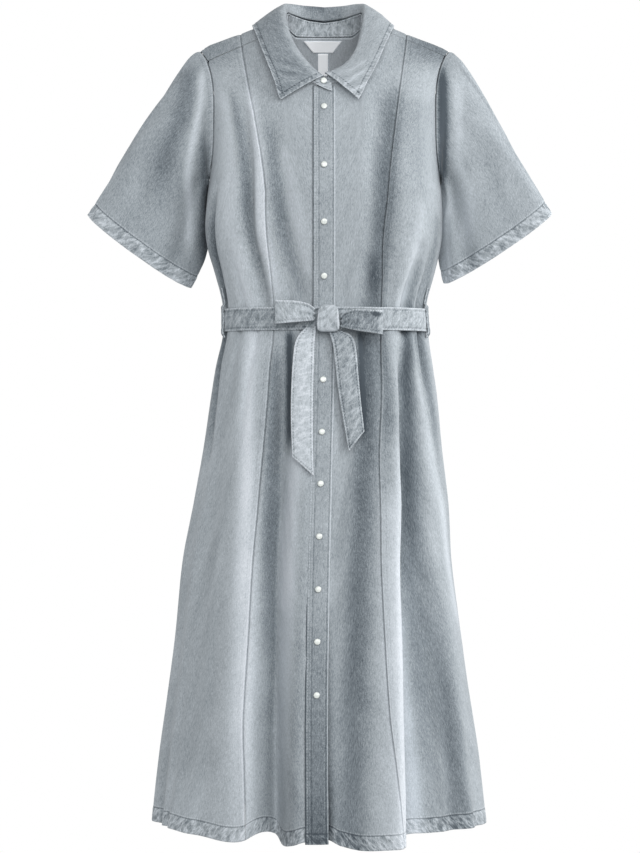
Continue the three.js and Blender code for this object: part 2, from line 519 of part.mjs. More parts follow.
const hemThickness = (u, v) => (v >= toDown(HEM_Z + HEM_DEPTH - 1) ? HEM_CLOTH : CLOTH);

const UNDERLAP_INNER = -10; // the right front runs this far past the centre, under the band
const OVERLAP_INNER = 14.5; // the left front ends here, under the band
const SHOULDER_GAP = 0.002; // opens the shoulder seam between front and back
const BAND_CLOTH = 1.8;

function panelMesh(face, side, panel, options = {}) {
  const surface = panelSurface(face, side, panel, options);
  const columns = panel === "centre" ? CENTRE_COLUMNS : face === "front" ? SIDE_COLUMNS : BACK_SIDE_COLUMNS;
  const rows = PANEL_ROWS.map((v) => (v === 0 ? (face === "front" ? SHOULDER_GAP * 3 : SHOULDER_GAP) : v));
  return wall(surface, columns, rows, hemThickness);
}

add("front_left_centre", panelMesh("front", "left", "centre", { innerX: OVERLAP_INNER }));
add("front_left_side", panelMesh("front", "left", "side"));
add("front_right_centre", panelMesh("front", "right", "centre", {
  innerX: UNDERLAP_INNER,
  folds: [...FRONT_FOLDS, UNDERLAP_FOLD],
}));
add("front_right_side", panelMesh("front", "right", "side"));
add("back_left_side", panelMesh("back", "left", "side"));
add("back_right_side", panelMesh("back", "right", "side"));

// The back centre, from one princess seam to the other.
const backCentre = { left: panelSurface("back", "left", "centre"), right: panelSurface("back", "right", "centre") };
const backCentreSide = (u) => backCentre[u < 0.5 ? "left" : "right"];
const backCentreSurface = (u, v) => backCentreSide(u)(Math.abs(2 * u - 1), v);
backCentreSurface.normal = (u, v) => backCentreSide(u).normal(Math.abs(2 * u - 1), v);
const BACK_COLUMNS = [1, 0.87, 0.74, NECK_SHARE, 0.56, 0.47, 0.36, 0.24, 0.12];
const backAcross = [...BACK_COLUMNS.map((a) => (1 - a) / 2), 0.5, ...[...BACK_COLUMNS].reverse().map((a) => (1 + a) / 2)];
const backRows = PANEL_ROWS.map((v) => Math.max(v, SHOULDER_GAP));
add("back_centre", wall(backCentreSurface, backAcross, backRows, hemThickness));

// The snap band, on the edge of the left front and over the right front.
const BAND_TOP_Z = FRONT_NECK_Z - 3;
const bandPlace = (z) => (z > SIDE_Z ? overAt(0, z, -1) : 0);
function bandSurface(u, v) {
  const z = mix(BAND_TOP_Z, HEM_Z - 1, v);
  const x = mix(-PLACKET_HALF_WIDTH, PLACKET_HALF_WIDTH, u);
  const half = look(SECTIONS, "z", z, x < 0 ? "left" : "right");
  if (z > SIDE_Z) return shoulderPoint(x, bandPlace(z), FRONT_FOLDS, x / half);
  return bodyPoint("front", x / half, z);
}
const toBand = (z) => (BAND_TOP_Z - z) / (BAND_TOP_Z - HEM_Z + 1);
const bandRows = [BAND_TOP_Z, -95, -120, -146, -172, -200, ...LEVELS, ...LOW_LEVELS.slice(0, 3), HEM_Z - 1].map(toBand);
const BAND_STEPS = [0, 0.25, 0.5, 0.75, 1];
add("front_band", wall(bandSurface, BAND_STEPS, bandRows, () => BAND_CLOTH, { lift: BAND_LIFT + BAND_CLOTH, flip: true }));

// A sleeve: rings from the armhole to the hem.
const ARMHOLE_TOP_SHIFT = 0.15; // the ridge lies this far round the ring behind the shoulder seam
function ringAngle(u) {
  const s = (u + ARMHOLE_TOP_SHIFT) % 1;
  if (s < ARMHOLE_TOP_SHIFT) return mix(0, 0.35, s / ARMHOLE_TOP_SHIFT);
  if (s < 0.5 + ARMHOLE_TOP_SHIFT) return mix(0.35, Math.PI, (s - ARMHOLE_TOP_SHIFT) / 0.5);
  return mix(Math.PI, 2 * Math.PI, (s - 0.5 - ARMHOLE_TOP_SHIFT) / (0.5 - ARMHOLE_TOP_SHIFT));
}
function sleeveSurface(side, table) {
  const sign = side === "left" ? -1 : 1;
  const ringPoint = (u) => {
    const place = u <= 0.5 ? armhole("front", side, 2 * u) : armhole("back", side, 2 * (1 - u));
    const across = place.x / look(SECTIONS, "z", heightAt(place.x, place.over), side);
    return shoulderPoint(place.x, place.over, u <= 0.5 ? FRONT_FOLDS : BACK_FOLDS, across);
  };
  const edgesAt = (t) => ({
    outer: new THREE.Vector3(...["ox", "oy", "oz"].map((k) => look(table, "t", t, k))),
    inner: new THREE.Vector3(...["ix", "iy", "iz"].map((k) => look(table, "t", t, k))),
  });
  const { outer: startOuter, inner: startInner } = edgesAt(0);
  return (u, t) => {
    const edges = edgesAt(t);
    const c = edges.outer.clone().lerp(edges.inner, 0.5);
    const across = edges.outer.clone().sub(c);
    const angle = ringAngle(u);
    const front = Math.sin(angle);
    const place = (1 - Math.cos(angle)) / 2;
    const folds = SLEEVE_FOLDS.reduce((sum, f) => sum + f.depth * Math.exp(-(((place - f.at) / f.width) ** 2)), 0);
    const depth = look(table, "t", t, "depth");
    const reach = depth * front - (front > 0 ? folds * front * smooth(t / 0.3) : 0);
    const oval = c.clone().addScaledVector(across, Math.cos(angle)).add(new THREE.Vector3(0, -reach, 0));
    oval.z -= SLEEVE_BOW * Math.max(0, front) * smooth((t - 0.6) / 0.4);
    const ring = ringPoint(u).add(new THREE.Vector3(sign * SEAM_GAP * 1.3, 0, -SEAM_GAP * 0.3));
    ring.add(startOuter.clone().negate().add(edges.outer).lerp(startInner.clone().negate().add(edges.inner), place));
    return ring.lerp(oval, look(table, "t", t, "oval"));
  };
}
const frontRing = SIDE_COLUMNS.filter((a) => a >= SHOULDER_SHARE).map((a) => (a - SHOULDER_SHARE) / (1 - SHOULDER_SHARE));
const backRing = BACK_SIDE_COLUMNS.filter((a) => a >= SHOULDER_SHARE).map((a) => (a - SHOULDER_SHARE) / (1 - SHOULDER_SHARE));
const SLEEVE_RING = [...frontRing.map((k) => k / 2), ...backRing.slice(1, -1).reverse().map((k) => 1 - k / 2)];
const SLEEVE_HEM_T = 0.86; // the hem is turned up from here
const SLEEVE_ROWS = [0, 0.04, 0.1, 0.17, 0.28, 0.42, 0.57, 0.72, SLEEVE_HEM_T, SLEEVE_HEM_T + 0.006, 1];
const sleeveThickness = (u, v) => (v > SLEEVE_HEM_T ? HEM_CLOTH : CLOTH);
const sleeves = { left: sleeveSurface("left", LEFT_SLEEVE), right: sleeveSurface("right", RIGHT_SLEEVE) };
for (const [side, surface] of Object.entries(sleeves)) {
  const geometry = wall(surface, SLEEVE_RING, SLEEVE_ROWS, sleeveThickness, { loop: true, flip: side === "left" });
  add(`sleeve_${side}`, geometry);
}

// The collar. place gives a side's table and t for a position round the whole collar, from the left end (0).
function collarPlace(u) {
  return u < 0.5 ? { side: "left", table: LEFT_COLLAR, t: 2 * u } : { side: "right", table: RIGHT_COLLAR, t: 2 * (1 - u) };
}
function collarFrame(u) {
  const { table, t, side } = collarPlace(u);
  const fold = new THREE.Vector3(...["fx", "fy", "fz"].map((k) => look(table, "t", t, k)));
  const edge = new THREE.Vector3(...["ex", "ey", "ez"].map((k) => look(table, "t", t, k)));
  const out = new THREE.Vector3(fold.x, fold.y + 8, 0).normalize();
  return { fold, edge, out, rise: look(table, "t", t, "rise"), side, t };
}
// Through the seam with the stand, over the fold and down to the outer edge.
function leafSurface(u, v) {
  const { fold, edge, out, rise } = collarFrame(u);
  const up = new THREE.Vector3(0, 0, 1);
  const knots = [
    fold.clone().addScaledVector(out, -2.4).addScaledVector(up, -rise),
    fold.clone().addScaledVector(out, -1.4).addScaledVector(up, -0.3 * rise),
    fold.clone().addScaledVector(out, 1.2),
    fold.clone().lerp(edge, 0.1).addScaledVector(out, 3).addScaledVector(up, 0.4),
    fold.clone().lerp(edge, 0.4).addScaledVector(out, 3.8).addScaledVector(up, 1),
    fold.clone().lerp(edge, 0.72).addScaledVector(out, 2.2).addScaledVector(up, 0.6),
    edge,
  ];
  return new THREE.CatmullRomCurve3(knots).getPoint(clamp(v, 0, 1));
}
const LEAF_ACROSS = [0, 0.035, 0.07, 0.11, 0.15, 0.19, 0.23, 0.27, 0.31, 0.36, 0.42, 0.5];
const LEAF_COLUMNS = [...LEAF_ACROSS, ...LEAF_ACROSS.slice(0, -1).reverse().map((a) => 1 - a)];
const LEAF_ROWS = [0, 0.17, 0.33, 0.45, 0.58, 0.72, 0.86, 1];
add("collar_leaf", wall(leafSurface, LEAF_COLUMNS, LEAF_ROWS, () => CLOTH, { flip: true }));

// The stand rises from the neck seam to the leaf. Its left end laps over the right one.
const STAND_LAP = -0.055;
const STAND_RIGHT_END = 0.01;
const TAB_DROP = 13.5; // how far the end of the stand hangs over the top of the band
const NECK_STATIONS = [
  { t: -0.06, k: -0.12 },
  { t: 0, k: 0.03 },
  { t: 0.14, k: 0.42 },
  { t: 0.28, k: 0.73 },
  { t: 0.42, k: 1 },
];
function standSurface(u, v) {
  const left = u < 0.5;
  const side = left ? "left" : "right";
  const table = left ? LEFT_COLLAR : RIGHT_COLLAR;
  const t = left ? mix(STAND_LAP, 1, 2 * u) : mix(STAND_RIGHT_END, 1, 2 * (1 - u));
  const fold = new THREE.Vector3(...["fx", "fy", "fz"].map((k) => look(table, "t", t, k)));
  const out = new THREE.Vector3(fold.x, fold.y + 8, 0).normalize();
  const below = look(table, "t", t, "rise") + mix(1.6, 3, smooth(t / 0.14));
  const top = fold.clone().addScaledVector(out, -5.6).add(new THREE.Vector3(0, 0, -below));
  const front = t < 0.42;
  const k = front ? look(NECK_STATIONS, "t", t, "k") : 1 - (t - 0.42) / 0.58;
  const place = neckline(front ? "front" : "back", side, k);
  const tab = left ? clamp((0.05 - t) / 0.105, 0, 1) : 0;
  const height = heightAt(place.x, place.over) - TAB_DROP * tab;
  const over = front ? overAt(place.x, height, -1) : place.over;
  const half = look(SECTIONS, "z", height, side);
  const seam = shoulderPoint(place.x, over, front ? FRONT_FOLDS : BACK_FOLDS, place.x / half);
  const inward = new THREE.Vector3(-place.x, 0, 0).setY(front ? 60 : -20).normalize();
  seam.addScaledVector(inward, mix(1.3, -2.6, smooth(tab / 0.3))).add(new THREE.Vector3(0, 0, 1.2));
  const lap = left ? 2.6 * smooth((0.09 - t) / 0.07) : 0;
  const bow = Math.sin(Math.PI * v) * 1.5;
  return seam.lerp(top, v).addScaledVector(out, bow).add(new THREE.Vector3(0, -lap, 0));
}
const STAND_ACROSS = [0, 0.02, 0.05, 0.09, 0.13, 0.17, 0.21, 0.25, 0.29, 0.34, 0.42, 0.5];
const STAND_COLUMNS = [...STAND_ACROSS, ...STAND_ACROSS.slice(0, -1).reverse().map((a) => 1 - a)];
add("collar_stand", wall(standSurface, STAND_COLUMNS, [0, 0.33, 0.67, 1], () => CLOTH, { flip: false }));

// A point of the body between two rows of its panels, so that what lies there follows their flat faces.
function betweenRows(face, across, z) {
  const i = Math.max(1, LEVELS.findIndex((level) => level < z));
  const [above, below] = [LEVELS[i - 1], LEVELS[i]];
  const t = (above - z) / (above - below);
  return bodyPoint(face, across, above, 1, []).lerp(bodyPoint(face, across, below, 1, []), t);
}

// The tie belt, over the band at the front.
const beltAngles = Array.from({ length: 44 }, (_, i) => i / 44);
function beltSurface(u, v) {
  const angle = (u - 0.25) * 4 * 90; // front first, from the left side
  const face = angle < 90 ? "front" : "back";
  const across = face === "front" ? Math.sin(angle * DEG) : Math.sin((180 - angle) * DEG);
  const z = mix(BELT_TOP_Z, BELT_BOTTOM_Z, v);
  return betweenRows(face, across, z);
}
const beltLift = (u, v) => {
  const x = beltSurface(u, v).x;
  const overBand = u < 0.5 ? 2.4 * smooth((40 - Math.abs(x)) / 14) : 0;
  return BELT_CLOTH + BAND_LIFT + 0.3 + overBand + 0.8 * Math.sin(Math.PI * v);
};
add("tie_belt", wall(beltSurface, beltAngles, [0, 0.34, 0.67, 1], () => BELT_CLOTH, { loop: true, lift: beltLift, flip: true }));

// Loops of the bow: flattened tubes that open at the top and the bottom.
function loopSurface(table, tilt) {
  const first = table[0].x;
  const last = table[table.length - 1].x;
  const sign = Math.sign(last - first);
  return (u, v) => {
    const angle = 2 * Math.PI * u;
    const k = (1 - Math.cos(angle)) / 2;
    const x = mix(first, last, k);
    const key = sign > 0 ? x : -x;
    const rows = table.map((r) => ({ ...r, key: sign > 0 ? r.x : -r.x }));
    const depth = look(rows, "key", key, "depth");
    const fade = Math.sqrt(Math.abs(Math.sin(angle)));
    const y = -117.5 - Math.sin(angle) * depth * mix(1, fade, 0.35) + tilt * k;
    const z = mix(look(rows, "key", key, "top"), look(rows, "key", key, "low"), v);
    return new THREE.Vector3(x, y, z);
  };
}
const LOOP_RING = Array.from({ length: 22 }, (_, i) => i / 22);
add("bow_loop_left", wall(loopSurface(LEFT_LOOP, 4), LOOP_RING, [0, 0.34, 0.67, 1], () => 1.3, { loop: true, flip: true }));
add("bow_loop_right", wall(loopSurface(RIGHT_LOOP, 4), LOOP_RING, [0, 0.34, 0.67, 1], () => 1.3, { loop: true, flip: false }));

// Tails of the bow
function tailSurface(table) {
  return (u, v) => {
    const left = new THREE.Vector3(...["lx", "ly", "lz"].map((k) => look(table, "t", v, k)));
    const right = new THREE.Vector3(...["rx", "ry", "rz"].map((k) => look(table, "t", v, k)));
    const p = left.lerp(right, u);
    p.y -= 3 * Math.sin(Math.PI * u) * smooth(v / 0.3);
    return p;
  };
}
const TAIL_ROWS = steps(9);
add("belt_tail_left", wall(tailSurface(LEFT_TAIL), steps(4), TAIL_ROWS, () => 1.6, { flip: false }));
add("belt_tail_right", wall(tailSurface(RIGHT_TAIL), steps(4), TAIL_ROWS, () => 1.6, { flip: false }));

// The knot: a rounded lump of wrapped cloth with a crease across it.
function lump({ x, y, z, halfWidth, halfHeight, halfDepth }, around, down) {
  const points = [];
  const faces = [];
  for (let j = 0; j <= down; j += 1) {
    const tilt = (j / down) * Math.PI;
    for (let i = 0; i < around; i += 1) {
      const turn = (i / around) * 2 * Math.PI;
      const soft = (n) => Math.sign(n) * Math.abs(n) ** 0.62;
      const ring = soft(Math.sin(tilt));
      const p = new THREE.Vector3(soft(Math.cos(turn)) * ring * halfWidth, soft(Math.sin(turn)) * ring * halfDepth, 0);
      p.z = soft(Math.cos(tilt)) * halfHeight;
      const crease = Math.exp(-(((p.x * 0.8 + p.z * 0.5 - 1) / 3.5) ** 2));
      if (p.y < 0) p.y *= 1 - 0.18 * crease;
      p.x *= 1 - 0.12 * (p.z / halfHeight);
      points.push(p.add(new THREE.Vector3(x, y, z)));
    }
  }
  for (let j = 0; j < down; j += 1) {
    for (let i = 0; i < around; i += 1) {
      const next = (i + 1) % around;
      const [a, b, c, d] = [j * around + i, (j + 1) * around + i, (j + 1) * around + next, j * around + next];
      if (j > 0) faces.push(a, b, d);
      if (j < down - 1) faces.push(b, c, d);
    }
  }
  const top = points[0];
  const low = points[down * around];
  const unique = faces.map((i) => (i < around ? 0 : i >= down * around ? down * around : i));
  const used = [...new Set(unique)];
  const index = new Map(used.map((v, n) => [v, n]));
  return closedGeometry(used.map((v) => (v === 0 ? top : v === down * around ? low : points[v])), unique.map((v) => index.get(v)));
}
add("belt_knot", lump(KNOT, 18, 12));

// Belt carriers at the side seams, over the belt.
const CARRIER = { top: -366, low: -440, from: 74, to: 78, cloth: 1.5 };
function carrierSurface(side) {
  const sign = side === "left" ? -1 : 1;
  return (u, v) => {
    const z = mix(CARRIER.top, CARRIER.low, v);
    return betweenRows("front", sign * Math.sin(mix(CARRIER.from, CARRIER.to, u) * DEG), z);
  };
}
const carrierLift = (u, v) => {
  const z = mix(CARRIER.top, CARRIER.low, v);
  const over = smooth((BELT_TOP_Z + 9 - z) / 7) * smooth((z - BELT_BOTTOM_Z + 9) / 7);
  return CARRIER.cloth + BAND_LIFT + (BELT_CLOTH + 1.9) * over;
};
for (const side of ["left", "right"]) {
  const options = { lift: carrierLift, flip: side === "right" };
  add(`belt_carrier_${side}`, wall(carrierSurface(side), [0, 0.5, 1], steps(14), () => CARRIER.cloth, options));
}

// Bare labels inside the back neck
const LABEL_CLOTH = 0.5;
function labelSurface(x0, x1, low0, low1, top, low) {
  return (u, v) => {
    const x = mix(mix(x0, low0, v), mix(x1, low1, v), u);
    const z = mix(top, low, v);
    const half = look(SECTIONS, "z", z, "left");
    return shoulderPoint(x, overAt(x, z, 1), [], x / half);
  };
}
const neckLabel = labelSurface(-31, 27, -16, 13.5, 14, -2);
const sizeLabel = labelSurface(-9, 6, -9, 6, -3.5, -36);
const underBack = { lift: -(CLOTH + 0.72), flip: false };
add("neck_label", wall(neckLabel, steps(6), steps(3), () => LABEL_CLOTH, underBack), "label");
add("size_label", wall(sizeLabel, steps(3), steps(4), () => LABEL_CLOTH, underBack), "label");

// Snap caps: low domes on the band.
const SNAP_PROFILE = [
  { r: 1, h: 0 },
  { r: 0.97, h: 0.45 },
  { r: 0.55, h: 1 },
];
function snapCap(centre, normal) {
  const across = new THREE.Vector3(1, 0, 0).cross(normal).normalize();
  const along = normal.clone().cross(across).normalize();
  const around = 10;
  const points = [];
  for (const { r, h } of SNAP_PROFILE) {
    for (let i = 0; i < around; i += 1) {
      const turn = (i / around) * 2 * Math.PI;
      const p = centre.clone().addScaledVector(normal, h * SNAP_HEIGHT);
      p.addScaledVector(across, Math.sin(turn) * r * SNAP_RADIUS);
      p.addScaledVector(along, Math.cos(turn) * r * SNAP_RADIUS);
      points.push(p);
    }
  }
  const faces = [];
  for (let j = 0; j < SNAP_PROFILE.length - 1; j += 1) {
    for (let i = 0; i < around; i += 1) {
      const n = (i + 1) % around;
      faces.push(j * around + i, j * around + n, (j + 1) * around + n, j * around + i, (j + 1) * around + n, (j + 1) * around + i);
    }
  }
  const last = (SNAP_PROFILE.length - 1) * around;
  for (let i = 1; i < around - 1; i += 1) faces.push(0, i + 1, i, last, last + i, last + i + 1);
  return closedGeometry(points, faces);
}
const CAP_LIFT = BAND_LIFT + BAND_CLOTH + 0.5;
for (const [n, z] of SNAP_HEIGHTS.entries()) {
  const base = bandSurface(0.5, toBand(z));
  const above = bandSurface(0.5, toBand(z + 2));
  const below = bandSurface(0.5, toBand(z - 2));
  const normal = new THREE.Vector3(1, 0, 0).cross(above.sub(below)).normalize();
  if (normal.y > 0) normal.negate();
  const centre = base.addScaledVector(normal, CAP_LIFT);
  add(`snap_${String(n + 1).padStart(2, "0")}`, snapCap(centre, normal), "snap");
}
const standNormal = new THREE.Vector3(0, -0.98, 0.2).normalize();
add("snap_stand", snapCap(new THREE.Vector3(STAND_SNAP.x, STAND_SNAP.y, STAND_SNAP.z), standNormal), "snap");

export default dress;
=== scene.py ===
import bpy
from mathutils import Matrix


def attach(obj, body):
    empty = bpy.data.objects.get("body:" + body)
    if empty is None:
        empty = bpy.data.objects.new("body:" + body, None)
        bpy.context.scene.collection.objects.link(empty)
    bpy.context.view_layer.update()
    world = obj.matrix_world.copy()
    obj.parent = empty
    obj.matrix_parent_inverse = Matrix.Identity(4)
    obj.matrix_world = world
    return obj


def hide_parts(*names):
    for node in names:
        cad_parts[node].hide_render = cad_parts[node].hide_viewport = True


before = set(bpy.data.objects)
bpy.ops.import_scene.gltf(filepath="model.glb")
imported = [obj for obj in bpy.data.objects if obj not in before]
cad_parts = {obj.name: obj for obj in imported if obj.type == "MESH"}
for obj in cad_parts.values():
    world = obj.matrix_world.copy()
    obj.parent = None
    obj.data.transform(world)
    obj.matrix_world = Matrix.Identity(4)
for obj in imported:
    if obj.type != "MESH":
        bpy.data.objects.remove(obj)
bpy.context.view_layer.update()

import math

import bpy
import numpy as np

# A belted denim shirt dress, filled out with nobody in it. Tables are in millimetres and degrees, in the
# frame of the solids. Left and right are the viewer's.
MM = 0.001
DEG = math.pi / 180
SIDE_Z, ARMPIT_Z, HEM_Z = -230.0, -200.0, -1168.0
HEM_DEPTH = 21.0
RIDGE_SPAN, RIDGE_Z, RIDGE_SLOPE, RIDGE_POWER = 105.0, 24.0, 0.415, 1.5
NECK_HALF, FRONT_NECK_Z, BACK_NECK_Z = 66.0, -70.0, 18.0
PRINCESS_X, BACK_PRINCESS, SEAM_DRAW, SEAM_GAP = 123.0, 35.0, 2.1, 0.3
SEAM_DROP = {"left": 21.0, "right": 10.0}
ARMHOLE_X = {"left": 163.0, "right": 165.0}
ARMHOLE_MID_Z = -115.0
NECK_SHARE, SHOULDER_SHARE, RIDGE_AT = 0.62, 0.3, 0.14
CLOTH, HEM_CLOTH, DOUBLE_CLOTH, BELT_LAYERS = 1.5, 2.4, 1.7, 2.0


def table(columns, rows):
    """Named columns of numbers, with rows sorted by the first column."""
    data = np.array(sorted(rows), float)
    return {name: data[:, i] for i, name in enumerate(columns.split())} | {"key": data[:, 0]}


SECTIONS = table("z left right centre front back round", [
    (60, 202, 200, 0, 129, 105, 2.6), (0, 190, 189, 0, 129, 105, 2.6), (-40, 182, 182, 0, 129, 105, 2.6),
    (-100, 174, 175, 0, 129, 105, 2.6), (-160, 170, 172, 0, 129, 105, 2.6),
    (-200, 171, 173, 0, 129, 105, 2.6), (-230, 175, 176, 0, 129, 104, 2.6),
    (-274, 178, 177, 0, 125, 100, 2.5), (-306, 174, 174, 0, 119, 97, 2.45),
    (-345, 162.5, 165, 0, 111, 91, 2.4), (-392, 151.5, 153.5, 0, 104, 86, 2.35),
    (-436, 151.5, 156.5, 0, 104, 88, 2.3), (-482, 161, 164, -1, 112, 99, 2.25),
    (-532, 168, 172, -2, 120, 110, 2.2), (-607, 177, 181, -4, 129, 122, 2.2),
    (-688, 189.5, 192.5, -6, 138, 133, 2.15), (-772, 203.5, 198.5, -8, 147, 143, 2.15),
    (-892, 214, 216.5, -10, 160, 157, 2.1), (-982, 225, 230, -11, 170, 166, 2.1),
    (-1060, 236, 242, -11, 179, 174, 2.1), (-1175, 249, 255, -10.5, 191, 184, 2.1)])
PRINCESS = table("z left right", [
    (-230, 29.3, 33.2), (-300, 28.5, 31.1), (-391, 29.6, 33.8), (-430, 29.5, 32.9), (-530, 28.4, 29.9),
    (-625, 28.3, 27.5), (-751, 27.7, 27.1), (-980, 27.4, 26.6), (-1060, 26.2, 27.6), (-1175, 24.4, 29.6)])
HEM_LINE = table("angle z", [
    (-90, -1161), (-75, -1161), (-60, -1160), (-50, -1163), (-40, -1166), (-30, -1169), (-25, -1166),
    (-21, -1157), (-17, -1164), (-13, -1176), (-9, -1173), (-4, -1166), (0, -1168), (4, -1165), (8, -1173),
    (15, -1180), (25, -1178), (31, -1176), (38, -1166), (50, -1163), (75, -1161.5), (90, -1163.5)])

# Folds: from one height and angle to another, the width of each flank in degrees, and the depth in mm at the
# start, middle and end. A negative depth stands proud.
FRONT_FOLDS = [
    (-185, -425, -65, -78, 3.5, 3.5, 3, 11, 8), (-400, -650, -79, -75, 3.5, 3.5, 8, 13, 3),
    (-70, -425, -44, -34.5, 5.5, 4, 5, 14, 10), (-90, -425, -29.5, -11, 5, 7, 4, 9, 6),
    (-420, -1200, -22, -17, 4, 6.5, 8, 36, 60), (-440, -1160, -62, -58, 10, 13, 5, 15, 16),
    (-520, -1200, -77, -79, 5, 6, 2, 10, 20), (-60, -520, 31.5, 28, 7.5, 5.5, 6, 15, 8),
    (-290, -450, 56, 50, 4.5, 4.5, 4, 12, 12), (-420, -1200, 47, 35.5, 4, 10, 18, 36, 50),
    (-290, -540, 68, 66, 3.2, 3.2, 3, 13, 3), (-470, -1200, 17, 10.5, 6, 8, 6, 17, 14),
    (-760, -1200, 60, 56, 6, 6, 2, 10, 20)]
BACK_FOLDS = [
    (-500, -1200, -66, -64, 6, 9, 4, 20, 34), (-430, -1200, -40, -37, 9, 5, 7, 30, 48),
    (-430, -1200, -14, -9, 5, 9, 5, 24, 44), (-440, -1200, 15, 19, 8, 5, 6, 30, 52),
    (-460, -1200, 45, 43, 6, 9, 4, 22, 40), (-520, -1200, 70, 67, 7, 5, 3, 18, 30),
    (-210, -405, -36, -30, 6, 6, 3, 8, 9), (-230, -405, 22, 27, 6, 6, 3, 8, 9),
    (-300, -405, -4, -5, 5, 6, 2, 5, 7)]
UNDERLAP = [(-820, -1200, 1, 0.5, 14, 4.2, 2, 12, 30)]
# Finer creases, mostly gathers above and below the belt, which only the seen cloth has.
FINE_FRONT = [
    (-300, -425, -55, -50, 2.6, 2, 1.5, 4, 3), (-330, -425, -21, -19, 2, 2.4, 1, 3, 3),
    (-340, -425, 11, 12, 2, 2, 1, 2.5, 2), (-320, -425, 38, 40, 2, 2.4, 1, 3.5, 3),
    (-405, -560, -55, -57, 2.4, 2.4, 4, 3, 1), (-405, -620, -40, -44, 2.4, 2, 3, 3, 1),
    (-405, -520, -12, -10, 2.2, 2.4, 3, 2, 1), (-405, -640, 24, 21, 2, 2.8, 3, 3, 1),
    (-405, -560, 59, 62, 2.2, 2.2, 4, 3, 1), (-405, -500, 6, 7, 1.8, 1.8, 2, 2, 0.5),
    (-430, -1100, -34, -31, 9, 7, -2, -6, -7), (-430, -1190, 40, 26.5, 5, 5, -3, -8, -9),
    (-600, -1190, -45, -44, 5, 7, 1, 4, 7), (-800, -1190, -69, -67, 3.5, 3.5, 1, 5, 9),
    (-860, -1190, 47, 48, 3.5, 5, 1, 6, 10), (-960, -1190, 70, 72, 4, 4, 1, 4, 7),
    (-420, -1000, -8, -6, 4, 3, -2, -4, -2)]
FINE_BACK = [
    (-300, -425, -50, -47, 2.6, 2, 1.5, 4, 3), (-330, -425, -20, -18, 2, 2.4, 1, 3, 3),
    (-320, -425, 10, 12, 2, 2.4, 1, 3.5, 3), (-330, -425, 44, 42, 2.4, 2, 1, 3, 3),
    (-405, -560, -55, -57, 2.4, 2.4, 4, 3, 1), (-405, -600, -27, -29, 2.4, 2, 3, 3, 1),
    (-405, -620, 5, 3, 2.2, 2.4, 3, 3, 1), (-405, -560, 32, 34, 2, 2.4, 4, 3, 1),
    (-405, -580, 58, 60, 2.2, 2.2, 4, 3, 1)]

# Where the cloth is washed paler (on the ridges) or stays darker (down the folds), with painted light on the
# ridges and painted shade in the folds and beside the sleeves mixed in: placed as the folds are.
WASH_AND_SHADE_FRONT = [
    (-60, -430, -58, -46, 8, 8, 15, 24, 30), (-60, -380, -52, -35, 3.6, 3.5, -22, -38, -12),
    (-60, -410, -39.5, -25.5, 4.2, 4.2, 30, 42, 30), (-110, -400, -31, -12.5, 4.6, 4.4, -20, -32, -8),
    (-150, -370, -22, -6, 4, 4, 14, 30, 16), (-40, -260, -84, -84, 10, 9, -34, -44, -20),
    (-220, -410, -67, -79, 5, 5, -14, -44, -32), (-50, -400, 38, 27, 6.5, 6, -26, -38, -26),
    (-310, -430, 25, 35, 6, 5, -16, -26, -34), (-80, -250, 50, 50, 13, 13, -10, -12, -6),
    (-40, -230, 84, 85, 8, 7, -60, -96, -34), (-230, -430, 54, 51, 5, 5, 10, 30, 66),
    (-320, -430, 58, 56, 3, 3.5, -18, -34, -36), (-250, -440, 69, 78, 3.5, 6, -14, -26, -52),
    (-270, -360, 79, 79, 5, 5, 14, 24, 10), (-400, -650, -80, -82, 9, 8, -58, -24, -5),
    (-400, -800, -44.5, -29.5, 6.5, 4.5, 34, 50, 46), (-740, -1200, -30.5, -24.5, 6.5, 4, 46, 44, 22),
    (-370, -640, -17.5, -12, 3, 2.5, -16, 6, 10), (-420, -960, -27, -20, 3, 3, -30, -34, -6),
    (-500, -1200, -12.5, -12, 4.5, 3.6, 34, 42, 8), (-600, -860, -17, -15, 5, 5, 12, 26, 20),
    (-660, -1200, -16.5, -16, 2.6, 2.6, 14, 26, 26), (-640, -1200, -8, -8, 3, 3, -8, -18, -16),
    (-800, -1200, 2.5, 2, 4, 3.5, -10, -30, -60), (-360, -1200, 25, 10.5, 5.5, 7, -54, -34, -28),
    (-400, -700, 34, 32, 3.5, 3.5, -20, -26, -6), (-540, -1200, 37, 32, 5, 5, 14, 34, 42),
    (-620, -1200, 35, 31, 10, 9, 10, 22, 30), (-720, -1200, 41.5, 41, 3, 3, 14, 40, 44),
    (-370, -820, 53.5, 47, 4.5, 5, -56, -46, -18), (-460, -900, 56, 82, 5, 5, 18, 28, 34),
    (-740, -1200, 54, 62, 8, 8, -18, -38, -22), (-380, -700, 65, 72, 6, 7, -38, -34, -12)]
WASH_AND_SHADE_BACK = [
    (-60, -430, -52, -42, 7, 7, 14, 22, 24), (-90, -420, -24, -18, 5, 6, 12, 26, 16),
    (-110, -420, 10, 12, 6, 6, 14, 22, 18), (-80, -430, 40, 38, 6, 7, 12, 24, 26),
    (-60, -420, -37, -31, 4, 4, -8, -26, -24), (-70, -420, 21, 26, 4, 4, -10, -24, -26),
    (-400, -1200, -53, -51, 6, 6, 22, 34, 30), (-400, -1200, -27, -24, 6, 6, 26, 38, 32),
    (-400, -1200, 2, 4, 5, 6, 22, 36, 30), (-400, -1200, 31, 31, 6, 6, 26, 38, 30),
    (-400, -1200, 58, 56, 5, 6, 18, 30, 26), (-400, -1180, -40, -37, 4, 4, -18, -30, -22),
    (-400, -1180, -14, -9, 4, 4, -20, -30, -18), (-400, -1180, 15, 19, 4, 4, -22, -32, -22),
    (-400, -1180, 45, 43, 4, 4, -16, -28, -20)]

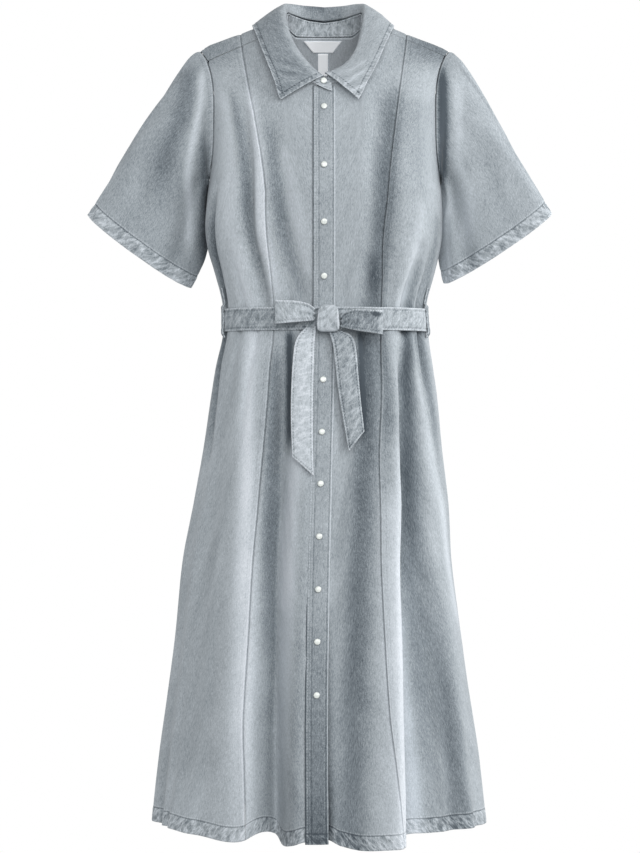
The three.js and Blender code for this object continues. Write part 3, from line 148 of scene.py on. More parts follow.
SLEEVES = {
    "left": table("t ox oy oz ix iy iz depth oval", [
        (0, -184, 0, -10, -171, 0, -200, 46, 0), (0.04, -192, 0, -12, -175.5, 3, -203, 48, 0.04),
        (0.12, -206, 0, -25, -174, 30, -222, 52, 0.3), (0.34, -246, 2, -82, -176, 41, -250, 52, 0.75),
        (0.56, -284.5, 2, -141, -173, 48, -279, 47, 1), (0.8, -322, 2, -204, -180, 43, -318, 42, 1),
        (1, -354, 0, -255, -200, 27, -362, 39, 1)]),
    "right": table("t ox oy oz ix iy iz depth oval", [
        (0, 182, 0, -10, 173, 0, -200, 46, 0), (0.04, 190, 0, -12, 177.5, 3, -203, 48, 0.04),
        (0.12, 205, 0, -27, 175.5, 29, -221, 52, 0.3), (0.34, 241, 2, -82, 177, 40, -249, 52, 0.75),
        (0.56, 275.5, 2, -142, 173, 49, -277, 47, 1), (0.8, 312, 2, -202, 174, 46, -318, 42, 1),
        (1, 342, 0, -252, 182, 33, -355, 39, 1)])}
SLEEVE_BOW = 11
SLEEVE_FOLDS = [(0.3, 0.13, 5), (0.76, 0.09, 11)]

COLLAR = {
    "left": table("t fx fy fz ex ey ez rise", [
        (-0.06, 12, -85, -61, -50, -102, -90, 1), (0, -2, -84, -58, -63, -102, -94.5, 1),
        (0.14, -26, -76, -35, -73, -93, -66, 4), (0.28, -45, -60, -6, -84, -76, -36, 6),
        (0.42, -57, -35, 29, -95, -50, -5, 8), (0.58, -59, 0, 58.5, -106, -7, 27.2, 11),
        (0.72, -50, 30, 65.5, -97, 46, 19, 15), (0.86, -28, 48, 65.5, -56, 70, 17, 19),
        (1, 0, 54, 64.5, 0, 80, 16, 21)]),
    "right": table("t fx fy fz ex ey ez rise", [
        (-0.06, -12, -85, -59, 40, -102, -91, 1), (0, 2.5, -84, -54, 50, -103, -93.5, 1),
        (0.14, 30, -76, -40, 64, -94, -66, 4), (0.28, 47.5, -60, -15, 78, -77, -38, 6),
        (0.42, 57, -35, 18, 90, -52, -8, 8), (0.58, 61, 0, 57, 104, -7, 27.2, 11),
        (0.72, 51, 30, 65.5, 96, 46, 19, 15), (0.86, 28, 48, 65.5, 56, 70, 17, 19),
        (1, 0, 54, 64.5, 0, 80, 16, 21)])}
TAB_DROP = 13.5
NECK_STATIONS = table("t k", [(-0.06, -0.12), (0, 0.03), (0.14, 0.42), (0.28, 0.73), (0.42, 1)])

LOOPS = {
    "left": table("x top low depth", [
        (-14, -400, -417.5, 3.2), (-22, -394, -418.5, 5.2), (-40, -389.5, -420, 7.8),
        (-58, -388.5, -421.5, 8), (-71.5, -387.5, -422.5, 5)]),
    "right": table("x top low depth", [
        (24.3, -410.5, -427.5, 3.2), (29, -405.5, -428.8, 5.5), (44, -401.5, -432, 8.5),
        (64, -402, -435, 9), (86, -403, -438, 6)])}
TAILS = {
    "left": table("t lx lz ly rx rz ry", [
        (0, -27, -427, -108.9, -11.5, -426, -111.4), (0.1, -38, -440, -117, -14, -452, -121),
        (0.2, -43.8, -457, -121, -14.4, -470, -124), (0.45, -47.5, -508, -126, -16, -528, -131),
        (0.72, -48.5, -560, -130, -16.3, -585, -137), (1, -46.5, -616, -136, -15, -643, -142)]),
    "right": table("t lx lz ly rx rz ry", [
        (0, 7.8, -435.5, -118.5, 25.5, -432.4, -116), (0.1, 12, -450, -121, 40, -440, -118),
        (0.2, 14.5, -466, -124, 46, -455, -120), (0.45, 20, -516, -129, 50, -497, -124),
        (0.72, 27.5, -562, -133, 54, -539, -127), (1, 35.3, -608, -139, 58.5, -579, -131)])}
KNOT = np.array([6, -119.65, -414.5])
BELT_TOP, BELT_LOW = -397.0, -431.0
SNAP_HEIGHTS = (-105, -192, -274, -352, -504, -580, -655, -731, -807, -882, -958)


# Curves and noise
def mix(a, b, t):
    return a + (b - a) * t


def smooth(t):
    c = np.clip(t, 0, 1)
    return c * c * (3 - 2 * c)


def hump(off, half):
    """A bell curve: 1 where off is 0, and 0.37 where off is the half width."""
    return np.exp(-((off / half) ** 2))


def wave(along, pitch):
    """The phase of ripples that are pitch apart."""
    return along * 2 * math.pi / pitch


def sign_of(side):
    return -1 if side == "left" else 1


def look(rows, at, column):
    """A column at a key between its rows, on a smooth curve through them."""
    k, c = rows["key"], rows[column]
    at = np.asarray(at, float)
    i = np.clip(np.searchsorted(k, at, side="left") - 1, 0, len(k) - 2)
    before, after = np.maximum(i - 1, 0), np.minimum(i + 2, len(k) - 1)
    span = k[i + 1] - k[i]
    t = np.clip((at - k[i]) / span, 0, 1)
    sa = (c[i + 1] - c[before]) / np.maximum(1e-9, k[i + 1] - k[before]) * span
    sb = (c[after] - c[i]) / np.maximum(1e-9, k[after] - k[i]) * span
    t2, t3 = t * t, t * t * t
    ends = (2 * t3 - 3 * t2 + 1) * c[i] + (t3 - 2 * t2 + t) * sa
    return ends + (3 * t2 - 2 * t3) * c[i + 1] + (t3 - t2) * sb


def noise(u, v, seed):
    """Smooth value noise, about -1 to 1, with a feature a unit across."""
    grid = np.random.default_rng(seed).uniform(-1, 1, (64, 64))
    iu, iv = np.floor(u).astype(int), np.floor(v).astype(int)
    fu, fv = smooth(u - iu), smooth(v - iv)

    def at(a, b):
        return grid[a % 64, b % 64]

    low = mix(at(iu, iv), at(iu + 1, iv), fu)
    high = mix(at(iu, iv + 1), at(iu + 1, iv + 1), fu)
    return mix(low, high, fv)


def fold_depth(folds, angle, z):
    """How deep the cloth is pressed in by all the folds, at an angle round the body and a height."""
    depth = np.zeros(np.broadcast(angle, z).shape)
    for start, end, a0, a1, wl, wr, d0, dm, d1 in folds:
        k = (start - z) / (start - end)
        off = angle - mix(a0, a1, k)
        width = np.where(off < 0, wl, wr)
        along = np.where(k < 0.5, mix(d0, dm, smooth(2 * k)), mix(dm, d1, smooth(2 * k - 1)))
        fade = smooth(k / 0.12) * (1 if end < HEM_Z else smooth((1 - k) / 0.15))
        depth = depth + np.where((k > 0) & (k < 1), along * fade * hump(off, width), 0)
    return depth


# The body
def half_width(z, x):
    """Half the body's width at a height, on the side that the sign of x names."""
    return np.where(x < 0, look(SECTIONS, z, "left"), look(SECTIONS, z, "right"))


def body_point(face, across, z, fill=1.0, folds=()):
    """Points of the body's outer face, from the place across (-1 to 1) and the height."""
    across, z = np.broadcast_arrays(np.asarray(across, float), np.asarray(z, float))
    half = half_width(z, across)
    depth = look(SECTIONS, z, face) * fill
    power = look(SECTIONS, z, "round")
    c = np.clip(across, -1 + 6e-7, 1 - 6e-7)
    bulge = (1 - np.abs(c) ** power) ** (1 / power)
    sign = -1 if face == "front" else 1
    press = fold_depth(folds, np.arcsin(c) / DEG, z) * np.clip(bulge * 3, 0, 1)
    nx, ny = c / half, sign * bulge / depth
    size = np.hypot(nx, ny)
    x = look(SECTIONS, z, "centre") + c * half - press * nx / size
    return np.stack([x, sign * depth * bulge - press * ny / size, z], -1)


def ridge(x):
    """The height of the shoulders' top line."""
    return RIDGE_Z - RIDGE_SLOPE * (np.maximum(np.abs(x), NECK_HALF) - RIDGE_SPAN)


def height_at(x, over):
    return ridge(x) - np.abs(over) ** RIDGE_POWER * (ridge(x) - SIDE_Z)


def over_at(x, z, sign):
    drop = np.clip((ridge(x) - z) / (ridge(x) - SIDE_Z), 0, 1)
    return sign * drop ** (1 / RIDGE_POWER)


def shoulder_point(x, over, folds_front, folds_back, across):
    """Points of the shoulders and chest. over: 0 on the ridge, -1 (front) or 1 (back) at the side level."""
    x, over, across = np.broadcast_arrays(*(np.asarray(v, float) for v in (x, over, across)))
    drop = np.abs(over) ** RIDGE_POWER
    z = ridge(x) - drop * (ridge(x) - SIDE_Z)
    front = np.maximum((1 - (1 - drop) ** 1.6) ** 0.77, 1e-3)
    back = np.maximum((1 - (1 - drop) ** 2.2) ** 0.5, 1e-3)
    a = body_point("front", across, z, front, folds_front)
    b = body_point("back", across, z, back, folds_back)
    return np.where((over < 0)[..., None], a, b)


def neckline(face, side, k):
    """The neck opening's edge as x and over, from the middle (k 0) to the shoulder seam (k 1)."""
    sign = sign_of(side)
    k = np.asarray(k, float)
    seam_z = ridge(NECK_HALF) - SEAM_DROP[side]
    if face == "front":
        turn = k * 90 * DEG
        z = FRONT_NECK_Z + (seam_z - FRONT_NECK_Z) * (1 - np.cos(turn))
        x = sign * NECK_HALF * np.sin(turn)
        return x, over_at(x, z, -1)
    start, end = over_at(0, BACK_NECK_Z, 1), over_at(NECK_HALF, seam_z, -1)
    over = mix(start, end, np.maximum(0, (k - 0.35) / 0.65) ** 1.2)
    return sign * NECK_HALF * np.sin(np.minimum(1, k * 1.25) * 90 * DEG), over


def armhole(face, side, k):
    """The armhole's edge as x and over, from the shoulder seam (k 0) to under the arm (k 1)."""
    sign = sign_of(side)
    k = np.asarray(k, float)
    middle = ARMHOLE_X[side]
    half = look(SECTIONS, ARMPIT_Z, side)

    def place(z):
        up = z > ARMHOLE_MID_Z
        reach = np.where(up, 20, half - middle)
        span = np.where(up, -10 - ARMHOLE_MID_Z, ARMHOLE_MID_Z - ARMPIT_Z)
        power = np.where((face == "back") & up & (k > 0.3), 2.2, 3.2)
        return sign * (middle + reach * np.minimum(1.1, np.abs(z - ARMHOLE_MID_Z) / span) ** power)

    tip = middle + 16
    seam_z = ridge(tip) - SEAM_DROP[side]
    if face == "front":
        z = seam_z + (ARMPIT_Z - seam_z) * np.sin(k * 90 * DEG)
        return place(z), over_at(place(z), z, -1)
    start = over_at(place(seam_z), seam_z, -1)
    turn = 0.3
    over1 = mix(start, 0, k / turn)
    z1 = ridge(tip) - np.abs(over1) ** RIDGE_POWER * (ridge(tip) - SIDE_Z)
    ridge_z = ridge(place(ridge(tip)))
    z2 = ridge_z + (ARMPIT_Z - ridge_z) * np.sin(np.maximum(0, (k - turn) / (1 - turn)) * 90 * DEG)
    early = k < turn
    x = np.where(early, place(z1), place(z2))
    return x, np.where(early, over1, over_at(x, z2, 1))


def top_edge(face, side, panel, a, inner_x):
    """A panel's top edge as x and over: neckline, shoulder seam and armhole, at places across (a)."""
    sign = sign_of(side)

    def seam(x):
        return sign * x, over_at(x, ridge(x) - SEAM_DROP[side], -1)

    if panel == "centre":
        start = np.arcsin(inner_x / NECK_HALF) / DEG / 90 * (1 if face == "front" else 0.8)
        one = neckline(face, side, mix(start, 1, a / NECK_SHARE))
        two = seam(mix(NECK_HALF, PRINCESS_X - SEAM_GAP / 2, (a - NECK_SHARE) / (1 - NECK_SHARE)))
        first = a <= NECK_SHARE
    else:
        tip = abs(float(armhole(face, side, 0)[0]))
        one = seam(mix(PRINCESS_X + SEAM_GAP / 2, tip, a / SHOULDER_SHARE))
        two = armhole(face, side, np.maximum(0, (a - SHOULDER_SHARE) / (1 - SHOULDER_SHARE)))
        first = a <= SHOULDER_SHARE
    return np.where(first, one[0], two[0]), np.where(first, one[1], two[1])


def panel_points(face, side, panel, a, down, inner_x=0.0, folds=None):
    """Points, outward directions and angles: a is the place across, down 1 the side level and 2 the hem."""
    sign = sign_of(side)
    folds = list(FRONT_FOLDS if face == "front" else BACK_FOLDS) if folds is None else folds
    fine = folds + (FINE_FRONT if face == "front" else FINE_BACK)
    a, down = np.broadcast_arrays(a[None, :], down[:, None])

    def angle_at(z):
        seam = BACK_PRINCESS if face == "back" else look(PRINCESS, np.minimum(z, SIDE_Z), side)
        half = look(SECTIONS, z, side)
        inner = np.arcsin(inner_x / half) / DEG
        gap = 0.15 / half / DEG * 1.2
        if panel == "centre":
            return sign * mix(inner, seam - gap, a)
        return sign * mix(seam + gap, 90 - gap * 0.8, a)

    # shoulders and chest
    tx, to = top_edge(face, side, panel, a, inner_x)
    start = tx / half_width(height_at(tx, to), np.full_like(tx, sign))
    side_angle = angle_at(np.full_like(tx, SIDE_Z))
    end = np.sin(side_angle * DEG)
    d = np.minimum(down, 1)
    beside = smooth(a / SHOULDER_SHARE) if panel == "side" else 0
    inwards = mix(d ** SEAM_DRAW, 1 - (1 - d) ** 2.6, beside)
    x = mix(tx, end * look(SECTIONS, SIDE_Z, side), inwards)
    over = mix(to, -1 if face == "front" else 1, d)
    if face == "back":
        via = np.where(d < RIDGE_AT, mix(to, 0, d / RIDGE_AT), (d - RIDGE_AT) / (1 - RIDGE_AT))
        over = mix(over, via, np.clip(-to / 0.05, 0, 1))
    across = mix(start, end, inwards)
    back = fine if face == "back" else ()
    front = fine if face == "front" else ()

    def chest(e=0.0, o=0.0):
        return shoulder_point(x + e * 170, np.clip(over + o, -1, 1), front, back, across + e)

    # from the side level to the hem
    level = mix(SIDE_Z, HEM_Z, np.maximum(down - 1, 0))
    angle = angle_at(level)
    line = angle if face == "front" else np.full_like(angle, sign * 90.0)
    shift = (look(HEM_LINE, line, "z") - HEM_Z) * smooth((down - 1.6) / 0.4)

    def skirt(e=0.0, dz=0.0):
        return body_point(face, np.sin((angle + e) * DEG), level + shift + dz, 1.0, fine)

    rise = 2 if face == "front" else -2
    n1 = np.cross(chest(e=0.004) - chest(e=-0.004), chest(o=0.01) - chest(o=-0.01))
    n2 = np.cross(skirt(e=0.3) - skirt(e=-0.3), skirt(dz=rise) - skirt(dz=-rise))
    low = (down >= 1)[..., None]
    n = np.where(low, n2, n1)
    n /= np.maximum(np.linalg.norm(n, axis=-1, keepdims=True), 1e-9)
    place = np.where(down >= 1, angle, np.arcsin(np.clip(across, -1, 1)) / DEG)
    return np.where(low, skirt(), chest()), n, place


# Thin shells from a grid of points: rows run down, columns across
def arc(p, axis):
    step = np.linalg.norm(np.diff(p, axis=axis), axis=-1)
    pad = [(0, 0), (0, 0)]
    pad[axis] = (1, 0)
    return np.pad(np.cumsum(step, axis=axis), pad)


def normals(p, flip=False, loop=False):
    if loop:
        q = np.concatenate([p[:, -1:], p, p[:, :1]], 1)
        du = q[:, 2:] - q[:, :-2]
    else:
        du = np.gradient(p, axis=1)
    n = np.cross(du, np.gradient(p, axis=0))
    n /= np.maximum(np.linalg.norm(n, axis=-1, keepdims=True), 1e-9)
    return -n if flip else n


def facing_out(p, loop=False):
    """Normals of a grid whose cloth faces away from the middle of the body, seen from above."""
    n = normals(p, loop=loop)
    return n * np.sign(np.sum(n[..., :2] * p[..., :2], -1))[..., None]


def facing(p, forward=True):
    """Normals of a grid that all look to the front (or to the back)."""
    n = normals(p)
    away = n[..., 1:2] > 0 if forward else n[..., 1:2] < 0
    return n * np.where(away, -1, 1)


def shell(name, p, n, relief, thickness, material, loop=False, wash_and_shade=0.0, inside=0.0):
    """A closed thin shell: p moved along n by relief, with its inner face thickness further in."""
    rows, cols = p.shape[:2]
    relief = np.broadcast_to(relief, (rows, cols))
    thickness = np.broadcast_to(thickness, (rows, cols))
    outer = p + n * relief[..., None]
    inner = outer - n * thickness[..., None]
    points = np.concatenate([outer.reshape(-1, 3), inner.reshape(-1, 3)]) * MM
    base = rows * cols
    i = np.arange(cols if loop else cols - 1)
    j = np.arange(rows - 1)
    jj, ii = np.meshgrid(j, i, indexing="ij")

    def at(r, c):
        return (r * cols + c % cols).ravel()

    front = np.stack([at(jj, ii), at(jj + 1, ii), at(jj + 1, ii + 1), at(jj, ii + 1)], 1)
    back = front[:, ::-1] + base
    first, last = 0 * i, 0 * i + rows - 1
    top = np.stack([at(first, i), at(first, i + 1), at(first, i + 1) + base, at(first, i) + base], 1)
    low = np.stack([at(last, i + 1), at(last, i), at(last, i) + base, at(last, i + 1) + base], 1)
    parts = [front, back, top, low]
    if not loop:
        near, far = 0 * j, 0 * j + cols - 1
        parts.append(np.stack([at(j + 1, near), at(j, near), at(j, near) + base, at(j + 1, near) + base], 1))
        parts.append(np.stack([at(j, far), at(j + 1, far), at(j + 1, far) + base, at(j, far) + base], 1))
    faces = np.concatenate(parts)
    # turned over where the grid's winding faces in
    gu = np.roll(outer, -1, 1) - outer if loop else np.gradient(outer, axis=1)
    gv = np.gradient(outer, axis=0)
    if float(np.sum(np.cross(gu, gv) * n)) > 0:
        faces = faces[:, ::-1]
    mesh = bpy.data.meshes.new(name)
    mesh.vertices.add(len(points))
    mesh.vertices.foreach_set("co", points.ravel())
    mesh.loops.add(faces.size)
    mesh.loops.foreach_set("vertex_index", faces.ravel())
    mesh.polygons.add(len(faces))
    mesh.polygons.foreach_set("loop_start", np.arange(0, faces.size, 4))
    mesh.update(calc_edges=True)
    mesh.validate()
    mesh.shade_smooth()
    u, v = arc(p, 1), arc(p, 0)
    across = u - u.mean(axis=1, keepdims=True)
    data = {
        "cloth_uv": (across, v),
        "side_mm": (u, u[:, -1:] - u),
        "end_mm": (v, v[-1:] - v),
        "tone": (np.broadcast_to(wash_and_shade, u.shape), np.zeros_like(u)),
    }
    for key, (one, two) in data.items():
        layer = mesh.attributes.new(key, "FLOAT_VECTOR", "POINT")
        flat = np.stack([one, two, np.zeros_like(one)], -1).reshape(-1, 3)
        # painted light: inside is added to the inner face's tone only, so the cloth seen inside the neck is
        # paler
        within = flat + (np.array([inside, 0, 0]) if key == "tone" else 0)
        layer.data.foreach_set("vector", np.concatenate([flat, within]).ravel())
    obj = bpy.data.objects.new(name, mesh)
    bpy.context.scene.collection.objects.link(obj)
    obj.data.materials.append(material)
    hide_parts(name.removeprefix("cloth_"))
    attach(obj, "root")
    return obj


# Materials
class Nodes:
    """Short names for building a node tree."""

    def __init__(self, name):
        self.material = bpy.data.materials.new(name)
        self.material.use_nodes = True
        self.tree = self.material.node_tree
        self.bsdf = self.tree.nodes["Principled BSDF"]

    def put(self, socket, value):
        if isinstance(value, bpy.types.NodeSocket):
            self.tree.links.new(value, socket)
        else:
            socket.default_value = value

    def math(self, op, a, b=None, c=None):
        node = self.tree.nodes.new("ShaderNodeMath")
        node.operation = op
        for socket, value in zip(node.inputs, (a, b, c)):
            if value is not None:
                self.put(socket, value)
        return node.outputs[0]

    def add(self, a, b):
        return self.math("ADD", a, b)

    def sub(self, a, b):
        return self.math("SUBTRACT", a, b)

    def mul(self, a, b):
        return self.math("MULTIPLY", a, b)

    def muladd(self, a, b, c):
        return self.math("MULTIPLY_ADD", a, b, c)

    def exp(self, a):
        return self.math("EXPONENT", a)

    def attribute(self, name):
        node = self.tree.nodes.new("ShaderNodeAttribute")
        node.attribute_name = name
        split = self.tree.nodes.new("ShaderNodeSeparateXYZ")
        self.tree.links.new(node.outputs["Vector"], split.inputs[0])
        return node.outputs["Vector"], split.outputs[0], split.outputs[1]

    def noise(self, vector, scale_u, scale_v, detail=2.0, rough=0.5):
        scale = self.tree.nodes.new("ShaderNodeVectorMath")
        scale.operation = "MULTIPLY"
        self.tree.links.new(vector, scale.inputs[0])
        scale.inputs[1].default_value = (scale_u, scale_v, 1)
        node = self.tree.nodes.new("ShaderNodeTexNoise")
        self.tree.links.new(scale.outputs[0], node.inputs["Vector"])
        node.inputs["Scale"].default_value = 1
        node.inputs["Detail"].default_value = detail
        node.inputs["Roughness"].default_value = rough
        return self.math("SUBTRACT", node.outputs["Fac"], 0.5)

    def colour(self, fac, stops):
        ramp = self.tree.nodes.new("ShaderNodeValToRGB")
        self.put(ramp.inputs[0], fac)
        elements = ramp.color_ramp.elements
        while len(elements) < len(stops):
            elements.new(0.5)
        for element, (at, rgb) in zip(elements, stops):
            element.position = at
            element.color = (*[linear(c) for c in rgb], 1)
        return ramp.outputs[0]

    def bump(self, height, distance, strength=1.0, normal=None):
        node = self.tree.nodes.new("ShaderNodeBump")
        node.inputs["Strength"].default_value = strength
        node.inputs["Distance"].default_value = distance
        self.put(node.inputs["Height"], height)
        if normal is not None:
            self.put(node.inputs["Normal"], normal)
        return node.outputs[0]


def linear(c):
    c /= 255
    return c / 12.92 if c <= 0.04045 else ((c + 0.055) / 1.055) ** 2.4


def denim(name, lines=(), bands=(), shade=0.0, slant=1.0, weft_amount=0.1):
    """Light denim. A line is (edge, mm from it, half width, amount, dashed), a band (edge, width, amount)."""
    m = Nodes(name)
    cloth, u, v = m.attribute("cloth_uv")
    _, near, far = m.attribute("side_mm")
    _, top, low = m.attribute("end_mm")
    _, tone, _ = m.attribute("tone")
    edge = {"near": near, "far": far, "top": top, "low": low}
    along = {"near": v, "far": v, "top": u, "low": u}
    slub = m.noise(cloth, 0.6, 0.1, 3, 0.65)
    fine = m.noise(cloth, 0.9, 0.26, 2, 0.6)
    weft = m.noise(cloth, 0.1, 0.6, 2, 0.6)
    cloudy = m.noise(cloth, 0.022, 0.012, 3, 0.6)
    mottle = m.noise(cloth, 0.2, 0.14, 2, 0.5)
    speck = m.noise(cloth, 0.8, 0.8, 2, 0.6)
    # the twill's own diagonal, which shows from close by
    diagonal = m.math("SINE", m.mul(m.add(u, m.mul(v, 0.6)), 2 * math.pi / 0.9))
    grain = m.add(m.mul(slub, 0.48), m.mul(fine, 0.55))
    grain = m.add(grain, m.mul(weft, weft_amount))
    grain = m.add(grain, m.mul(speck, 0.42))
    height = m.muladd(diagonal, 0.05, m.mul(grain, 0.5))
    fac = m.add(m.muladd(cloudy, 0.3, 0.5 + shade), grain)
    fac = m.muladd(mottle, 0.14, fac)
    fac = m.muladd(diagonal, 0.012, fac)
    # the tone attribute: washing, with painted light and shade, added to the colour
    fac = m.add(fac, tone)
    # bands along an edge: thin light veins where the doubled cloth puckers
    for where, width, amount in bands:
        d = edge[where]
        inside = m.math("LESS_THAN", d, width)
        run = m.muladd(d, 0.7 * slant, along[where])
        place = m.tree.nodes.new("ShaderNodeCombineXYZ")
        m.put(place.inputs[0], run)
        m.put(place.inputs[1], d)
        thin = m.noise(place.outputs[0], 0.1, 0.045, 2, 0.55)
        broad = m.noise(place.outputs[0], 0.13, 0.09, 2, 0.5)
        vein = m.exp(m.mul(m.math("ABSOLUTE", thin), -24.0))
        ripple = m.sub(m.muladd(broad, 0.9, m.mul(vein, 0.34)), 0.12)
        fac = m.muladd(m.mul(ripple, inside), amount, fac)
        height = m.muladd(m.mul(m.add(vein, broad), inside), 0.9 * amount, height)
        worn = m.exp(m.mul(d, -0.7))
        fac = m.muladd(worn, 0.22 * amount, fac)
    for where, mm, half, amount, dashed in lines:
        off = m.math("DIVIDE", m.sub(edge[where], mm), half)
        line = m.exp(m.mul(m.mul(off, off), -1.0))
        if dashed:
            beat = m.math("SINE", m.mul(along[where], 2 * math.pi / 4.2))
            line = m.mul(line, m.muladd(beat, 0.4, 0.6))
        fac = m.muladd(line, amount, fac)
        height = m.muladd(line, 0.6 if amount > 0 else -0.8, height)
    base = m.colour(fac, [(0.0, (72, 80, 87)), (0.25, (120, 128, 134)), (0.5, (164, 171, 176)),
                          (0.75, (194, 201, 207)), (1.0, (219, 224, 230))])
    m.put(m.bsdf.inputs["Base Color"], base)
    m.put(m.bsdf.inputs["Roughness"], m.muladd(grain, 0.2, 0.9))
    m.bsdf.inputs["Specular IOR Level"].default_value = 0.2
    m.bsdf.inputs["Sheen Weight"].default_value = 0.12
    m.bsdf.inputs["Sheen Roughness"].default_value = 0.5
    m.put(m.bsdf.inputs["Normal"], m.bump(height, 0.0006, 0.8))
    return m.material


# Where two pieces meet: a dark join with a pale thread beside it, and the second row of the double stitch
JOIN = (("near", 0.2, 0.7, -0.08, False), ("near", 2.0, 0.8, 0.16, False), ("near", 8.0, 0.8, -0.07, True))
HEM = (("low", HEM_DEPTH, 0.9, -0.27, False), ("low", HEM_DEPTH + 2.2, 0.9, 0.2, True))


def edged(mm):
    """A pale edge and a stitched groove beside it, round three sides."""
    return [line for edge in ("near", "far", "low")
            for line in ((edge, 0.8, 0.9, 0.3, True), (edge, mm, 0.9, -0.36, True))]


PANEL = denim("denim_panel", [*JOIN, *HEM], [("low", HEM_DEPTH, 1.0)])
CENTRE_PANEL = denim("denim_centre", [*HEM, ("far", 0.3, 0.8, -0.06, False)], [("low", HEM_DEPTH, 1.0)])
BACK_PANEL = denim("denim_back", HEM, [("low", HEM_DEPTH, 1.0)])
BAND = denim("denim_band", [("near", 0.4, 0.8, -0.42, False), ("near", 3.2, 0.8, 0.24, True),
                            ("near", 6.6, 0.7, 0.14, True), ("near", 9.0, 0.9, -0.12, False),
                            ("far", 1.0, 0.9, 0.34, False), ("far", 3.6, 1.0, -0.14, False),
                            ("far", 5.4, 0.7, 0.12, True), ("low", 15.0, 1.0, -0.2, False)],
             [("low", 15.0, 0.7)], shade=-0.03)
SLEEVE = denim("denim_sleeve", [("top", 0.2, 0.8, -0.04, False), ("top", 2.0, 0.8, 0.2, False),
                                ("top", 8.0, 0.8, -0.07, True), *HEM], [("low", HEM_DEPTH, 1.0)], slant=-1.0)
COLLAR_CLOTH = denim("denim_collar", edged(7.5), [(edge, 7.5, 0.6) for edge in ("near", "far", "low")],
                     weft_amount=0.4)
STAND_CLOTH = denim("denim_stand", [("top", 2.6, 0.8, -0.3, True), ("top", 0.8, 0.8, 0.2, True),
                                    ("low", 2.6, 0.8, -0.3, True)],
                    [("top", 40.0, 0.8)], slant=0.2, shade=0.04)
BELT_CLOTH = denim("denim_belt", [("top", 0.8, 0.9, 0.3, True), ("low", 0.8, 0.9, 0.3, True),
                                  ("top", 4.2, 0.8, -0.2, True), ("low", 4.2, 0.8, -0.2, True)],
                   [("top", 40.0, 0.6)], slant=0.9)
TAIL_CLOTH = denim("denim_tail", edged(4.2), [("near", 60.0, 0.6)], shade=0.2, slant=0.5)


def label_material():
    m = Nodes("label_weave")
    cloth, _, _ = m.attribute("cloth_uv")
    weave = m.noise(cloth, 2.2, 0.5, 2)
    pale = m.colour(m.add(weave, 0.5), [(0, (238, 241, 243)), (1, (252, 253, 253))])
    m.put(m.bsdf.inputs["Base Color"], pale)
    m.put(m.bsdf.inputs["Normal"], m.bump(weave, 0.0002, 0.5))
    m.bsdf.inputs["Roughness"].default_value = 0.7
    # painted light: the label glows a little, so that it stays white in the shade inside the neck
    m.bsdf.inputs["Emission Color"].default_value = (0.9, 0.94, 1.0, 1)
    m.bsdf.inputs["Emission Strength"].default_value = 0.22
    return m.material


def pearl_material():
    m = Nodes("pearl_snap")
    at = m.tree.nodes.new("ShaderNodeTexCoord").outputs["Object"]
    swirl = m.noise(at, 260, 260, 3)
    pearl = m.colour(m.add(m.mul(swirl, 1.2), 0.5), [(0, (205, 212, 208)), (1, (246, 249, 244))])
    m.put(m.bsdf.inputs["Base Color"], pearl)
    m.put(m.bsdf.inputs["Roughness"], m.muladd(swirl, 0.15, 0.22))
    m.bsdf.inputs["Coat Weight"].default_value = 0.5
    m.bsdf.inputs["Coat Roughness"].default_value = 0.1
    return m.material


def rim_material():
    m = Nodes("snap_rim")
    at = m.tree.nodes.new("ShaderNodeTexCoord").outputs["Object"]
    brushed = m.noise(at, 900, 900, 2)
    metal = m.colour(m.add(brushed, 0.5), [(0, (150, 154, 156)), (1, (196, 199, 200))])
    m.put(m.bsdf.inputs["Base Color"], metal)
    m.bsdf.inputs["Metallic"].default_value = 0.8
    m.put(m.bsdf.inputs["Roughness"], m.muladd(brushed, 0.2, 0.35))
    return m.material


LABEL, PEARL, RIM = label_material(), pearl_material(), rim_material()


# Panels of the body
def spaced(fn, count):
    """Places from 0 to 1 that are even along a curve, closer at the ends."""
    t = np.linspace(0, 1, 400)
    length = arc(fn(t)[None], 1)[0]
    want = np.linspace(0, length[-1], count)
    near = np.array([1.2, 2.6, 4.2])
    want = np.unique(np.concatenate([want, near, length[-1] - near]))
    return np.interp(want, length, t)


def panel_columns(face, side, panel, count, inner_x):
    """Columns spaced along a line across the skirt, halfway down it."""
    def line(t):
        return panel_points(face, side, panel, t, np.array([1.45]), inner_x, [])[0][0]

    return spaced(line, count)


# Down a panel: 0 at its top edge, 1 at the side level and 2 at the hem, closer at the seams and the hem
TOP_ROWS = np.concatenate([np.linspace(0.002, 0.16, 12)[:-1], np.linspace(0.16, 1, 56)[:-1]])
LOW_ROWS = np.concatenate([np.linspace(1, 1.965, 200)[:-1], np.linspace(1.965, 2, 14)])
ROWS = np.concatenate([TOP_ROWS, LOW_ROWS])


def cloth_relief(u, v, seed):
    """Soft unevenness of hanging denim."""
    broad = noise(u / 34, v / 120, seed) * 0.9
    small = noise(u / 13, v / 42, seed + 1) * 0.35
    dimple = noise(u / 7, v / 9, seed + 2) * 0.1
    return broad + small + dimple


def seam_relief(u, v, width=2.0):
    """Edges sink into the seam, with slight puckers beside it."""
    pucker = np.sin(wave(v, 11) + 2 * np.sin(v / 37)) * hump(u - 5, 4) * 0.25
    return -1.2 * hump(u, width) + pucker


def tone_of(face, place, z, extra=()):
    """How much paler or darker the cloth is: its washing mixed with painted light and shade, painted shade
    deeper down its folds, and painted shade on the shoulders.
    """
    folds = (FRONT_FOLDS if face == "front" else BACK_FOLDS) + list(extra)
    wash_and_shade = fold_depth(WASH_AND_SHADE_FRONT if face == "front" else WASH_AND_SHADE_BACK, place, z)
    shoulder = np.where(place > 0, -0.3, -0.2) * smooth((z + 55) / 50) * smooth((np.abs(place) - 30) / 20)
    # painted shade: darker the deeper the fold, and on the shoulders
    return 0.0078 * wash_and_shade - 0.0042 * np.minimum(fold_depth(folds, place, z), 40) + shoulder


